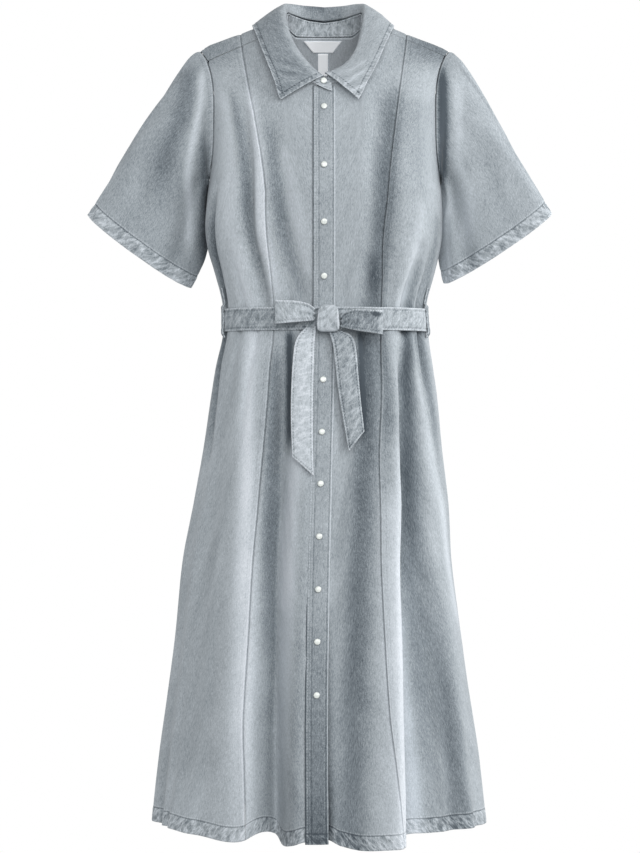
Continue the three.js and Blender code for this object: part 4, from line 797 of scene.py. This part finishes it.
def tail_shade(p):
    """The dark line that each belt tail throws on the skirt beside it."""
    x, z = p[..., 0], p[..., 2]
    left = hump(x + 50.5, 5.5) * smooth((z + 625) / 50)
    right = hump(x - 57 + (z + 560) * 0.04, 4) * smooth((z + 600) / 50)
    return -(0.6 * left + 0.42 * right) * smooth((-428 - z) / 15) * (p[..., 1] < 0)


def make_panel(name, count, material, inner_x, extra, seed, flat, area):
    """A panel whose name says its face, side and place. inner_x is where a centre panel starts."""
    face, side, panel = name.split("_")
    a = panel_columns(face, side, panel, count, inner_x)
    rows = ROWS.copy()
    if face == "front":
        rows[0] = 0.006
    folds = list(FRONT_FOLDS if face == "front" else BACK_FOLDS) + list(extra)
    p, n, place = panel_points(face, side, panel, a, rows, inner_x, folds)
    finish_panel(name, p, n, place, face, material, extra, seed, panel)


def finish_panel(name, p, n, place, face, material, extra, seed, panel):
    u, v = arc(p, 1), arc(p, 0)
    far, low = u[:, -1:] - u, v[-1:] - v
    relief = cloth_relief(u, v, seed) * smooth(np.minimum(u, far) / 14) * smooth(v / 30)
    if panel == "side":
        relief = relief + seam_relief(u, v)
    else:
        relief = relief + seam_relief(far, v)
        if panel == "back":
            relief = relief + seam_relief(u, v)
    hem = hump(low - HEM_DEPTH, 1.6)
    rope = np.sin((place * 4.1 + low * 0.28) + 2.5 * noise(u / 19, v / 19, seed + 5))
    relief = relief - 0.5 * hem + 0.45 * rope * (low < HEM_DEPTH) * smooth(low / 6)
    thickness = np.where(low < HEM_DEPTH, HEM_CLOTH, CLOTH)
    # washing with painted light and shade, and the belt tails' painted shadows; the inner face is painted
    # paler by inside
    wash_and_shade = tone_of(face, place, p[..., 2], extra) + tail_shade(p)
    obj = shell("cloth_" + name, p, n, relief, thickness, material, wash_and_shade=wash_and_shade, inside=0.25)
    return obj


for row in (
    ("front_left_centre", 44, CENTRE_PANEL, 14.5, (), 11, (0.19, 1.22), 0.12),
    ("front_left_side", 62, PANEL, 0.0, (), 21, (0.27, 1.21), 0.193),
    ("front_right_centre", 50, CENTRE_PANEL, -10.0, UNDERLAP, 31, (0.228, 1.255), 0.134),
    ("front_right_side", 62, PANEL, 0.0, (), 41, (0.285, 1.23), 0.212),
    ("back_left_side", 58, PANEL, 0.0, (), 51, (0.31, 1.26), 0.175),
    ("back_right_side", 58, PANEL, 0.0, (), 61, (0.305, 1.25), 0.176),
):
    make_panel(*row)

# The back's centre is one panel: its left half, turned round, and its right half
halves = [panel_points("back", side, "centre", panel_columns("back", side, "centre", 44, 0.0), ROWS)
          for side in ("left", "right")]
p, n, place = (np.concatenate([left[:, :0:-1], right], 1) for left, right in zip(*halves))
finish_panel("back_centre", p, n, place, "back", BACK_PANEL, (), 71, "back")


# The snap band
def band_points(x, z):
    x, z = np.broadcast_arrays(x[None, :], z[:, None])
    across = x / half_width(z, x)
    chest = shoulder_point(x, over_at(np.zeros_like(z), z, -1), FRONT_FOLDS, (), across)
    return np.where((z > SIDE_Z)[..., None], chest, body_point("front", across, z, 1.0, FRONT_FOLDS))


BAND_EDGE = np.array([14.8, 15.9, 16.5])
band_x = np.concatenate([-BAND_EDGE[::-1], np.linspace(-13.5, 13.5, 15), BAND_EDGE])
band_z = np.concatenate([np.linspace(-73, -1150, 330), np.linspace(-1152, -1169, 12)])
p = band_points(band_x, band_z)
n = facing(p)
u, v = arc(p, 1), arc(p, 0)
edge = np.minimum(u, u[:, -1:] - u)
relief = 2.3 + noise(u / 30, v / 34, 81) * 0.5 + noise(u / 6, v / 9, 82) * 0.12
relief = relief - 0.7 * hump(edge, 0.9) - 0.25 * hump(edge - 2.2, 0.8)
relief = relief - 0.2 * hump(edge - 5.4, 0.8)
relief = relief + 0.3 * np.sin(wave(v, 10) + u) * hump(edge - 3.5, 2.5)
# washing and painted shade down the middle of the front
wash_and_shade = tone_of("front", 0 * u, p[..., 2]) - 0.02
band = shell("cloth_front_band", p, n, relief, DOUBLE_CLOTH, BAND, wash_and_shade=wash_and_shade)


# Sleeves
def ring_angle(u):
    """The angle round a sleeve at a place round the armhole: 0 at the top, pi under the arm."""
    s = (u + 0.15) % 1
    one = mix(0, 0.35, s / 0.15)
    two = mix(0.35, math.pi, (s - 0.15) / 0.5)
    three = mix(math.pi, 2 * math.pi, (s - 0.65) / 0.35)
    return np.where(s < 0.15, one, np.where(s < 0.65, two, three))


def sleeve_points(side, u, t):
    rows = SLEEVES[side]
    sign = sign_of(side)
    fx, fo = armhole("front", side, np.minimum(2 * u, 1))
    bx, bo = armhole("back", side, np.minimum(2 * (1 - u), 1))
    first = u <= 0.5
    x, over = np.where(first, fx, bx), np.where(first, fo, bo)
    across = x / half_width(height_at(x, over), x)
    ring = np.where(first[:, None], shoulder_point(x, over, FRONT_FOLDS, FRONT_FOLDS, across),
                    shoulder_point(x, over, BACK_FOLDS, BACK_FOLDS, across))

    def get(k):
        return look(rows, t, k)[:, None]

    outer = np.concatenate([get("ox"), get("oy"), get("oz")], 1)[:, None]
    inner = np.concatenate([get("ix"), get("iy"), get("iz")], 1)[:, None]
    middle = (outer + inner) / 2
    angle = ring_angle(u)[None, :]
    front = np.sin(angle)
    place = (1 - np.cos(angle)) / 2
    folds = sum(d * hump(place - at, w) for at, w, d in SLEEVE_FOLDS)
    tt = t[:, None]
    reach = get("depth") * front - np.where(front > 0, folds * front * smooth(tt / 0.3), 0)
    oval = middle + (outer - middle) * np.cos(angle)[..., None]
    oval[..., 1] -= reach
    oval[..., 2] -= SLEEVE_BOW * np.maximum(0, front) * smooth((tt - 0.6) / 0.4)
    moved = ring[None] + np.array([sign * 0.39, 0, -0.09])
    moved = moved + mix(outer - outer[:1], inner - inner[:1], place[..., None])
    return mix(moved, oval, get("oval")[..., None]), np.broadcast_to(place, (len(t), len(u)))


# How far a sleeve's edge moves under the arm, so that it lies against the body
UNDER_ARM = {"left": 2.6, "right": -1.6}


def sleeve_shade_and_highlight(side, out, z):
    """Painted shade in the hollow beside the body, a painted highlight on the ridge next to it and painted
    shade in the hollow beyond, down the front of a sleeve.
    """
    def strip(at, half):
        return hump(out - at, half)

    if side == "left":
        down = smooth((-60 - z) / 150)
        tone = -0.32 * strip(178, 8) * smooth((-120 - z) / 50)
        tone = tone + 0.34 * strip(mix(182, 203, down), 7) * smooth((-25 - z) / 40) * smooth((z + 330) / 60)
        return tone - 0.2 * strip(mix(204, 240, down), 17) * smooth((-20 - z) / 30) * smooth((z + 270) / 90)
    tone = -0.66 * strip(176.5, 8) * smooth((-15 - z) / 50) * smooth((z + 230) / 45)
    tone = tone + 0.18 * strip(200, 8) * smooth((-40 - z) / 40) * smooth((z + 225) / 60)
    tone = tone + 0.3 * strip(184, 9) * smooth((-215 - z) / 40)
    return tone + 0.2 * strip(214, 13) * smooth((-175 - z) / 50) * smooth((z + 330) / 60)


for side, shade in (("left", -0.08), ("right", -0.04)):
    u = np.arange(120) / 120
    t = np.concatenate([[0, 0.012, 0.025, 0.04], np.linspace(0.055, 0.86, 58), np.linspace(0.87, 1, 12)])
    p, place = sleeve_points(side, u, t)
    p[..., 0] += UNDER_ARM[side] * smooth((place - 0.86) / 0.1) * hump(t[:, None], 0.06)
    n = normals(p, flip=side == "left", loop=True)
    girth, v = arc(p, 1), arc(p, 0)
    low = v[-1:] - v
    seed = 90 if side == "left" else 100
    turn = np.broadcast_to(u[None] * 2 * math.pi, girth.shape)
    relief = noise(4 + 3 * np.cos(turn) + v / 90, 4 + 3 * np.sin(turn) + v / 60, seed) * 1.6
    relief = relief + noise(9 + 7 * np.cos(turn), 9 + 7 * np.sin(turn) + v / 40, seed + 1) * 0.7
    relief = relief * smooth(v / 20) - 1.0 * hump(v, 1.8) - 0.4 * hump(v - 7, 1.5)
    relief = relief - 0.5 * hump(low - HEM_DEPTH, 1.6)
    rope = np.sin(wave(girth, 10.5) + low * 0.3 + 2.5 * noise(girth / 19, v / 19, seed + 5))
    relief = relief + 0.5 * rope * (low < HEM_DEPTH) * smooth(low / 6)
    # painted shade and highlights down the front, and each sleeve painted darker by shade, except at its hem
    wash_and_shade = sleeve_shade_and_highlight(side, np.abs(p[..., 0]), p[..., 2]) - 1.2 * shade * (low < HEM_DEPTH) + shade
    thickness = np.where(low < HEM_DEPTH, HEM_CLOTH, CLOTH)
    obj = shell("cloth_sleeve_" + side, p, n, relief, thickness, SLEEVE, loop=True, wash_and_shade=wash_and_shade)


# Collar
def column(side, t, names):
    return np.stack([look(COLLAR[side], t, k) for k in names], -1)


def round_collar(first, t, names):
    """Columns of the collar's tables: the left one's where first holds, and the right one's elsewhere."""
    return np.where(first[:, None], column("left", t, names), column("right", t, names))


def fold_line(first, t):
    """The collar's fold, its rise above the stand and its outward direction."""
    fold = round_collar(first, t, ("fx", "fy", "fz"))
    out = np.stack([fold[:, 0], fold[:, 1] + 8, 0 * t], -1)
    out /= np.linalg.norm(out, axis=-1, keepdims=True)
    return fold, round_collar(first, t, ("rise",)), out


def leaf_points(u, v):
    first = u < 0.5
    t = np.where(first, 2 * u, 2 * (1 - u))
    fold, rise, out = fold_line(first, t)
    far = round_collar(first, t, ("ex", "ey", "ez"))
    up = np.array([[0, 0, 1.0]])
    knots = [fold - 2.4 * out - rise * up, fold - 1.4 * out - 0.3 * rise * up, fold + 1.2 * out,
             mix(fold, far, 0.1) + 3 * out + 0.4 * up, mix(fold, far, 0.4) + 3.8 * out + up,
             mix(fold, far, 0.72) + 2.2 * out + 0.6 * up, far]
    knots = np.stack(knots)
    ext = np.concatenate([2 * knots[:1] - knots[1:2], knots, 2 * knots[-1:] - knots[-2:-1]])
    s = np.clip(v, 0, 1) * (len(knots) - 1)
    i = np.minimum(s.astype(int), len(knots) - 2)
    f = (s - i)[:, None, None]
    p0, p1, p2, p3 = ext[i], ext[i + 1], ext[i + 2], ext[i + 3]
    d1, d2 = (p2 - p0) / 2, (p3 - p1) / 2
    return ((2 * f**3 - 3 * f**2 + 1) * p1 + (f**3 - 2 * f**2 + f) * d1 + (3 * f**2 - 2 * f**3) * p2
            + (f**3 - f**2) * d2)


u = np.concatenate([[0, 0.004, 0.008, 0.014], np.linspace(0.02, 0.98, 150), [0.986, 0.992, 0.996, 1]])
v = np.concatenate([np.linspace(0, 0.33, 12)[:-1], np.linspace(0.33, 0.93, 20)[:-1], np.linspace(0.93, 1, 6)])
p = leaf_points(u, v)
n = normals(p, flip=True)
s, w = arc(p, 1), arc(p, 0)
edge = np.minimum(np.minimum(s, s[:, -1:] - s), w[-1:] - w)
fall = smooth((w - 14) / 12)
relief = (noise(s / 26, w / 22, 111) * 0.7 + noise(s / 9, w / 9, 112) * 0.18) * fall + 0.5
relief = relief - 0.8 * hump(edge, 1.0) - 0.45 * hump(edge - 6, 1.1)
pucker = np.sin(wave(s, 9) + w * 0.4 + 2 * noise(s / 15, w / 15, 113))
relief = relief + 0.4 * pucker * hump(edge - 3, 2.6)
x, z = p[..., 0], p[..., 2]
# the left leaf and the roll behind the neck are in shade, with slanting streaks on both points
wash_and_shade = np.where(x < 0, -0.2, -0.02) * smooth((w - 8) / 14)
wash_and_shade = wash_and_shade - 0.16 * smooth((z - 20) / 14) * smooth((40 - np.abs(x)) / 20)
for slope, start, amount in ((0.62, -108, 0.26), (0.7, -92, 0.2), (0.5, -120, -0.14), (0.66, -76, 0.12)):
    wash_and_shade = wash_and_shade + amount * hump(z - slope * x - start, 3.4) * smooth((x - 24) / 12) * smooth((72 - x) / 20)
for slope, start, amount in ((-0.3, -70, -0.12), (-0.24, -52, -0.1), (-0.3, -61, 0.1)):
    wash_and_shade = wash_and_shade + amount * hump(z - slope * x - start, 3) * smooth((-x - 34) / 10) * smooth((80 + x) / 20)
leaf = shell("cloth_collar_leaf", p, n, relief, 1.9, COLLAR_CLOTH, wash_and_shade=wash_and_shade)


def stand_points(u, v):
    """From the neckline up to the fold, with a tab at the left front end that drops over the band."""
    first = u < 0.5
    t = np.where(first, mix(-0.055, 1, 2 * u), mix(0.01, 1, 2 * (1 - u)))
    fold, rise, out = fold_line(first, t)
    top = fold - 5.6 * out
    top[:, 2] -= rise[:, 0] + mix(1.6, 3, smooth(t / 0.14))
    front = t < 0.42
    tab = np.where(first, np.clip((0.05 - t) / 0.105, 0, 1), 0)
    k = np.where(front, look(NECK_STATIONS, t, "k"), 1 - (t - 0.42) / 0.58)
    seam = np.zeros_like(top)
    inward = np.zeros_like(top)
    for side, on in (("left", first), ("right", ~first)):
        for face, here in (("front", on & front), ("back", on & ~front)):
            if not here.any():
                continue
            x, over = neckline(face, side, k[here])
            height = height_at(x, over) - TAB_DROP * tab[here]
            if face == "front":
                over = over_at(x, height, -1)
            across = x / half_width(height, np.full_like(x, sign_of(side)))
            folds = FRONT_FOLDS if face == "front" else BACK_FOLDS
            seam[here] = shoulder_point(x, over, folds, folds, across)
            inward[here] = np.stack([-x, np.full_like(x, 60 if face == "front" else -20), 0 * x], -1)
    inward /= np.linalg.norm(inward, axis=-1, keepdims=True)
    seam = seam + mix(1.3, -2.6, smooth(tab / 0.3))[:, None] * inward + np.array([0, 0, 1.2])
    lap = np.where(first, 2.6 * smooth((0.09 - t) / 0.07), 0)
    vv = v[:, None, None]
    p = mix(seam[None], top[None], vv) + out[None] * np.sin(math.pi * vv) * 1.5
    p[..., 1] -= lap[None]
    return p


ends = np.linspace(0, 0.06, 16)[:-1], np.linspace(0.94, 1, 12)[1:]
u = np.concatenate([ends[0], np.linspace(0.06, 0.94, 130), ends[1]])
p = stand_points(u, np.linspace(0, 1, 16))
s, w = arc(p, 1), arc(p, 0)
relief = noise(s / 22, w / 14, 121) * 0.4 - 0.4 * hump(w - 2.5, 1)
stand = shell("cloth_collar_stand", p, normals(p), relief, DOUBLE_CLOTH, STAND_CLOTH)


# Belt, bow and carriers
def belt_points(u, v):
    angle = (u - 0.25) * 360
    z = mix(BELT_TOP, BELT_LOW, v)[:, None]
    a = body_point("front", np.sin(angle * DEG)[None], z, 1.0)
    b = body_point("back", np.sin((180 - angle) * DEG)[None], z, 1.0)
    return np.where((angle < 90)[None, :, None], a, b)


u = np.arange(300) / 300
v = np.linspace(0, 1, 20)
p = belt_points(u, v)
n = facing_out(p, loop=True)
s, w = arc(p, 1), arc(p, 0)
x = p[..., 0]
in_front = (u < 0.5)[None]
relief = 2.85 + np.where(in_front, 2.4 * smooth((40 - np.abs(x)) / 14), 0)
relief = relief + 0.8 * np.sin(math.pi * v)[:, None]
relief = relief + noise(s / 26, w / 13, 131) * 0.7 + noise(s / 9, w / 6, 132) * 0.2
toward = hump(np.abs(x - 6) - 22, 26) * in_front
relief = relief + toward * 0.9 * np.sin(w * 0.75 + x * 0.05)
relief = relief - 0.5 * hump(np.minimum(w, 34 - w) - 3, 1)
# painted shade: darker where it ripples towards the knot and on the left of its front
wash_and_shade = -0.06 * toward - 0.12 * smooth((10 - x) / 30) * in_front
belt = shell("cloth_tie_belt", p, n, relief, BELT_LAYERS, BELT_CLOTH, loop=True, wash_and_shade=wash_and_shade)

def bow_loop(side, first, last):
    """A flattened loop of belt from the knot (x first) to its outer end (x last), pleated at the knot."""
    u = np.arange(96) / 96
    v = np.linspace(0, 1, 22)
    angle = 2 * math.pi * u
    k = (1 - np.cos(angle)) / 2
    x = mix(first, last, k)
    depth = look(LOOPS[side], x, "depth")
    fade = np.sqrt(np.abs(np.sin(angle)))
    y = -117.5 - np.sin(angle) * depth * mix(1, fade, 0.35) + 4 * k
    z = mix(look(LOOPS[side], x, "top")[None], look(LOOPS[side], x, "low")[None], v[:, None])
    p = np.stack([np.broadcast_to(x, z.shape), np.broadcast_to(y, z.shape), z], -1)
    n = normals(p, loop=True)
    centre = np.stack([mix(first, last, 0.5) + 0 * x, -115.5 + 0 * x], -1)[None]
    n = n * np.sign(np.sum(n[..., :2] * (p[..., :2] - centre), -1).sum())
    s, w = arc(p, 1), arc(p, 0)
    near = hump(k[None], 0.4)
    pleat = np.sin(v[:, None] * 2 * math.pi * 2.5 + (1.2 if side == "left" else 0.2) + k[None] * 1.5)
    relief = near * pleat * 1.1 + noise(s / 16, w / 11, 141) * 0.5 * (1 - near)
    if side == "left":
        # painted shade in the pleats by the knot
        wash_and_shade = 0.07 - 0.07 * near * (1 - pleat)
    else:
        # painted shade on the front of this loop and in its pleats, a painted highlight on its end, and
        # painted shade where it opens at the top
        mouth = hump(k[None] - 0.84, 0.12) * hump(v[:, None] - 0.17, 0.08)
        end = smooth((k[None] - 0.84) / 0.12)
        wash_and_shade = -0.2 - 0.07 * near * (1 - pleat) + 0.26 * end - 0.7 * mouth
    loop = shell("cloth_bow_loop_" + side, p, n, relief, 1.2, BELT_CLOTH, loop=True, wash_and_shade=wash_and_shade)


def belt_tail(side):
    u, v = np.linspace(0, 1, 22), np.linspace(0, 1, 70)
    rows = TAILS[side]
    one = np.stack([look(rows, v, k) for k in ("lx", "ly", "lz")], -1)[:, None]
    two = np.stack([look(rows, v, k) for k in ("rx", "ry", "rz")], -1)[:, None]
    p = mix(one, two, u[None, :, None])
    p[..., 1] -= 3 * np.sin(math.pi * u)[None] * smooth(v / 0.3)[:, None]
    n = facing(p)
    s, w = arc(p, 1), arc(p, 0)
    edge = np.minimum(np.minimum(s, s[:, -1:] - s), w[-1:] - w)
    relief = noise(s / 20, w / 40, 151) * 0.8 - 0.6 * hump(edge, 1) - 0.4 * hump(edge - 3, 1)
    relief = relief + 0.45 * np.sin(wave(w, 9) + s * 0.6) * hump(edge - 4, 3.5)
    relief = relief + hump(w, 22) * 1.2 * np.sin(s * 0.55)
    # the right tail darker than the left, and both a little darker at the top
    tone, flat, area = (0.04, (0.042, 0.22), 0.0068) if side == "left" else (-0.26, (0.039, 0.177), 0.0055)
    tail = shell("cloth_belt_tail_" + side, p, n, relief, 1.6, TAIL_CLOTH, wash_and_shade=tone - 0.05 * hump(w, 15))


for side, first, last in (("left", -14.0, -71.5), ("right", 24.3, 86.0)):
    bow_loop(side, first, last)
    belt_tail(side)


def knot():
    """Cloth wrapped round itself: a soft lump with creases that turn across its front."""
    around, down = 72, 44
    tilt = np.linspace(0.02, math.pi - 0.02, down)[:, None]
    turn = (np.arange(around) / around * 2 * math.pi)[None]
    half_x, half_y, half_z = 16, 9.5, 20

    def square(a):
        return np.sign(a) * np.abs(a) ** 0.5

    ring = square(np.sin(tilt))
    x = square(np.cos(turn)) * ring * half_x
    y = square(np.sin(turn)) * ring * half_y
    z = square(np.cos(tilt)) * half_z + 0 * turn
    crease = hump(x * 0.8 + z * 0.5 - 1, 2.6) + 0.5 * hump(x * 0.9 + z * 0.28 + 8, 1.8)
    crease = crease + 0.4 * hump(x * 0.9 - z * 0.1 - 9, 1.8)
    y = np.where(y < 0, y * (1 - 0.2 * np.minimum(crease, 1)), y)
    x = x * (1 - 0.12 * z / half_z)
    p = np.stack([x, y, z + 0 * x], -1) + KNOT
    n = normals(p, loop=True)
    n = n * np.sign(np.sum(n * (p - KNOT), -1).sum())
    rim = hump(np.abs(x) - 14.6, 0.9) - 0.6 * hump(np.abs(x) - 12, 0.9)
    # painted shade down the creases on its front, paler rims at its sides, and the whole knot a little paler
    wash_and_shade = (-0.16 * np.minimum(crease, 1) + 0.22 * rim * (np.abs(z) < 18)) * (y < 0) + 0.16
    obj = shell("cloth_belt_knot", p, n, 0.0, 1.5, BELT_CLOTH, loop=True, wash_and_shade=wash_and_shade)


knot()

# The carriers at the side seams, which stand out over the belt
for side in ("left", "right"):
    sign = sign_of(side)
    u, z = np.linspace(0, 1, 8), np.linspace(-366, -440, 46)
    p = body_point("front", sign * np.sin(mix(74, 78, u) * DEG)[None], z[:, None], 1.0)
    n = normals(p)
    n = n * np.sign(np.sum(n[..., :2] * p[..., :2], -1).sum())
    over = smooth((BELT_TOP + 9 - z) / 7) * smooth((z - BELT_LOW + 9) / 7)
    relief = 1.85 + 4.1 * over[:, None] + 0.2 * np.sin(z * 0.7)[:, None]
    # darker than the tails' cloth they share
    strap = shell("cloth_belt_carrier_" + side, p, n, relief, 1.5, TAIL_CLOTH, wash_and_shade=-0.34)

# Bare labels inside the back neck
# (from x0 to x1 at the top edge, from l0 to l1 at the lower one)
for name, x0, x1, l0, l1, top, low, flat in (
    ("neck_label", -31, 27, -16, 13.5, 14, -2, (0.055, 0.018)),
    ("size_label", -9, 6, -9, 6, -3.5, -36, (0.016, 0.034)),
):
    u, v = np.linspace(0, 1, 24), np.linspace(0, 1, 16)
    x = mix(mix(x0, l0, v)[:, None], mix(x1, l1, v)[:, None], u[None])
    z = mix(top, low, v)[:, None] + 0 * x
    p = shoulder_point(x, over_at(x, z, 1), (), (), x / look(SECTIONS, z, "left"))
    n = facing(p, forward=False)
    curl = -0.5 * np.abs(2 * u - 1)[None] ** 3
    tag = shell("cloth_" + name, p, n, -(CLOTH + 0.9) + curl, 0.5, LABEL)


# Snap caps: a pearl dome in a narrow rim
CAP_RADIUS, CAP_HEIGHT, CAP_LIFT, CAP_RIM_ROWS = 4.8, 2.5, 2.8, 4
# The cap's section, as shares of its radius and height
CAP_PROFILE = [(0.9, 0), (1, 0.12), (1, 0.42), (0.95, 0.55), (0.9, 0.52), (0.88, 0.6), (0.8, 0.8),
               (0.66, 0.92), (0.45, 1.0), (0.2, 1.04), (0.02, 1.05)]


def cap(name, centre, normal):
    normal = normal / np.linalg.norm(normal)
    side = np.cross([1, 0, 0], normal)
    side /= np.linalg.norm(side)
    along = np.cross(normal, side)
    around = 48
    turn = np.arange(around) / around * 2 * math.pi
    points, faces = [], []
    for r, h in CAP_PROFILE:
        for t in turn:
            sideways = side * math.sin(t) * r * CAP_RADIUS + along * math.cos(t) * r * CAP_RADIUS
            points.append((centre + normal * h * CAP_HEIGHT + sideways) * MM)
    for j in range(len(CAP_PROFILE) - 1):
        for i in range(around):
            k = (i + 1) % around
            faces.append((j * around + i, j * around + k, (j + 1) * around + k, (j + 1) * around + i))
    faces.append(tuple(range(around))[::-1])
    faces.append(tuple((len(CAP_PROFILE) - 1) * around + i for i in range(around)))
    mesh = bpy.data.meshes.new("cap_" + name)
    mesh.from_pydata(points, [], faces)
    mesh.validate()
    mesh.materials.append(PEARL)
    mesh.materials.append(RIM)
    for f in mesh.polygons:
        f.material_index = 1 if f.index < CAP_RIM_ROWS * around else 0
        f.use_smooth = True
    obj = bpy.data.objects.new("cap_" + name, mesh)
    bpy.context.scene.collection.objects.link(obj)
    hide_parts(name)
    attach(obj, "root")


for i, z in enumerate(SNAP_HEIGHTS):
    three = band_points(np.array([0.0]), np.array([z + 2.0, z, z - 2.0]))[:, 0]
    normal = np.cross([1, 0, 0], three[0] - three[2])
    normal = normal / np.linalg.norm(normal) * (-1 if normal[1] > 0 else 1)
    cap("snap_%02d" % (i + 1), three[1] + normal * CAP_LIFT, normal)
cap("snap_stand", np.array([-0.6, -89.9, -65.0]), np.array([0, -0.98, 0.2]))


# Camera, light and backdrop
scene = bpy.context.scene
camera = bpy.data.objects.new("camera", bpy.data.cameras.new("camera"))
scene.collection.objects.link(camera)
scene.camera = camera
camera.location = (-0.006, -3.9, -0.572)
camera.rotation_euler = (math.pi / 2, 0, 0)
camera.data.lens = 109.73
camera.data.sensor_width = 36
camera.data.dof.use_dof = False
camera.data.clip_end = 100

scene.view_settings.view_transform = "Standard"
world = bpy.data.worlds.new("studio")
scene.world = world
world.use_nodes = True
world.node_tree.nodes["Background"].inputs[0].default_value = (0.97, 0.985, 1, 1)
world.node_tree.nodes["Background"].inputs[1].default_value = 0.47


def area_light(name, place, target, size, power, colour=(1, 1, 1)):
    light = bpy.data.lights.new(name, "AREA")
    light.shape = "RECTANGLE"
    light.size, light.size_y = size
    light.energy = power
    light.color = colour
    obj = bpy.data.objects.new(name, light)
    obj.location = place
    away = np.array(place) - np.array(target)
    obj.rotation_euler = (
        math.acos(away[2] / np.linalg.norm(away)), 0, math.atan2(away[1], away[0]) + math.pi / 2)
    scene.collection.objects.link(obj)


area_light("front", (0.3, -3.6, 0.7), (0, 0, -0.6), (2.4, 2.0), 68)
area_light("key", (2.3, -2.4, 0.9), (0, 0, -0.55), (1.0, 1.8), 40)
area_light("rim_right", (2.2, 0.5, 0.0), (0.1, 0, -0.6), (0.6, 2.0), 38)
area_light("rim_left", (-2.2, 0.3, -0.4), (-0.1, 0, -0.7), (0.6, 2.0), 14)
area_light("back", (-0.4, 3.6, 0.6), (0, 0, -0.6), (2.4, 2.0), 44)

# A white surround that only the camera sees
sphere = bpy.data.meshes.new("surround")
rings, segs, radius = 12, 24, 30.0
pts = [(radius * math.sin(math.pi * j / rings) * math.cos(2 * math.pi * i / segs),
        radius * math.sin(math.pi * j / rings) * math.sin(2 * math.pi * i / segs),
        radius * math.cos(math.pi * j / rings)) for j in range(rings + 1) for i in range(segs)]
quads = [(j * segs + i, j * segs + (i + 1) % segs, (j + 1) * segs + (i + 1) % segs, (j + 1) * segs + i)
         for j in range(rings) for i in range(segs)]
sphere.from_pydata(pts, [], quads)
white = bpy.data.materials.new("white_surround")
white.use_nodes = True
white.node_tree.nodes.remove(white.node_tree.nodes["Principled BSDF"])
glow = white.node_tree.nodes.new("ShaderNodeEmission")
glow.inputs[0].default_value = (1, 1, 1, 1)
glow.inputs[1].default_value = 1.0
white.node_tree.links.new(glow.outputs[0], white.node_tree.nodes["Material Output"].inputs[0])
sphere.materials.append(white)
surround = bpy.data.objects.new("surround", sphere)
scene.collection.objects.link(surround)
for ray in ("diffuse", "glossy", "transmission", "volume_scatter", "shadow"):
    setattr(surround, "visible_" + ray, False)
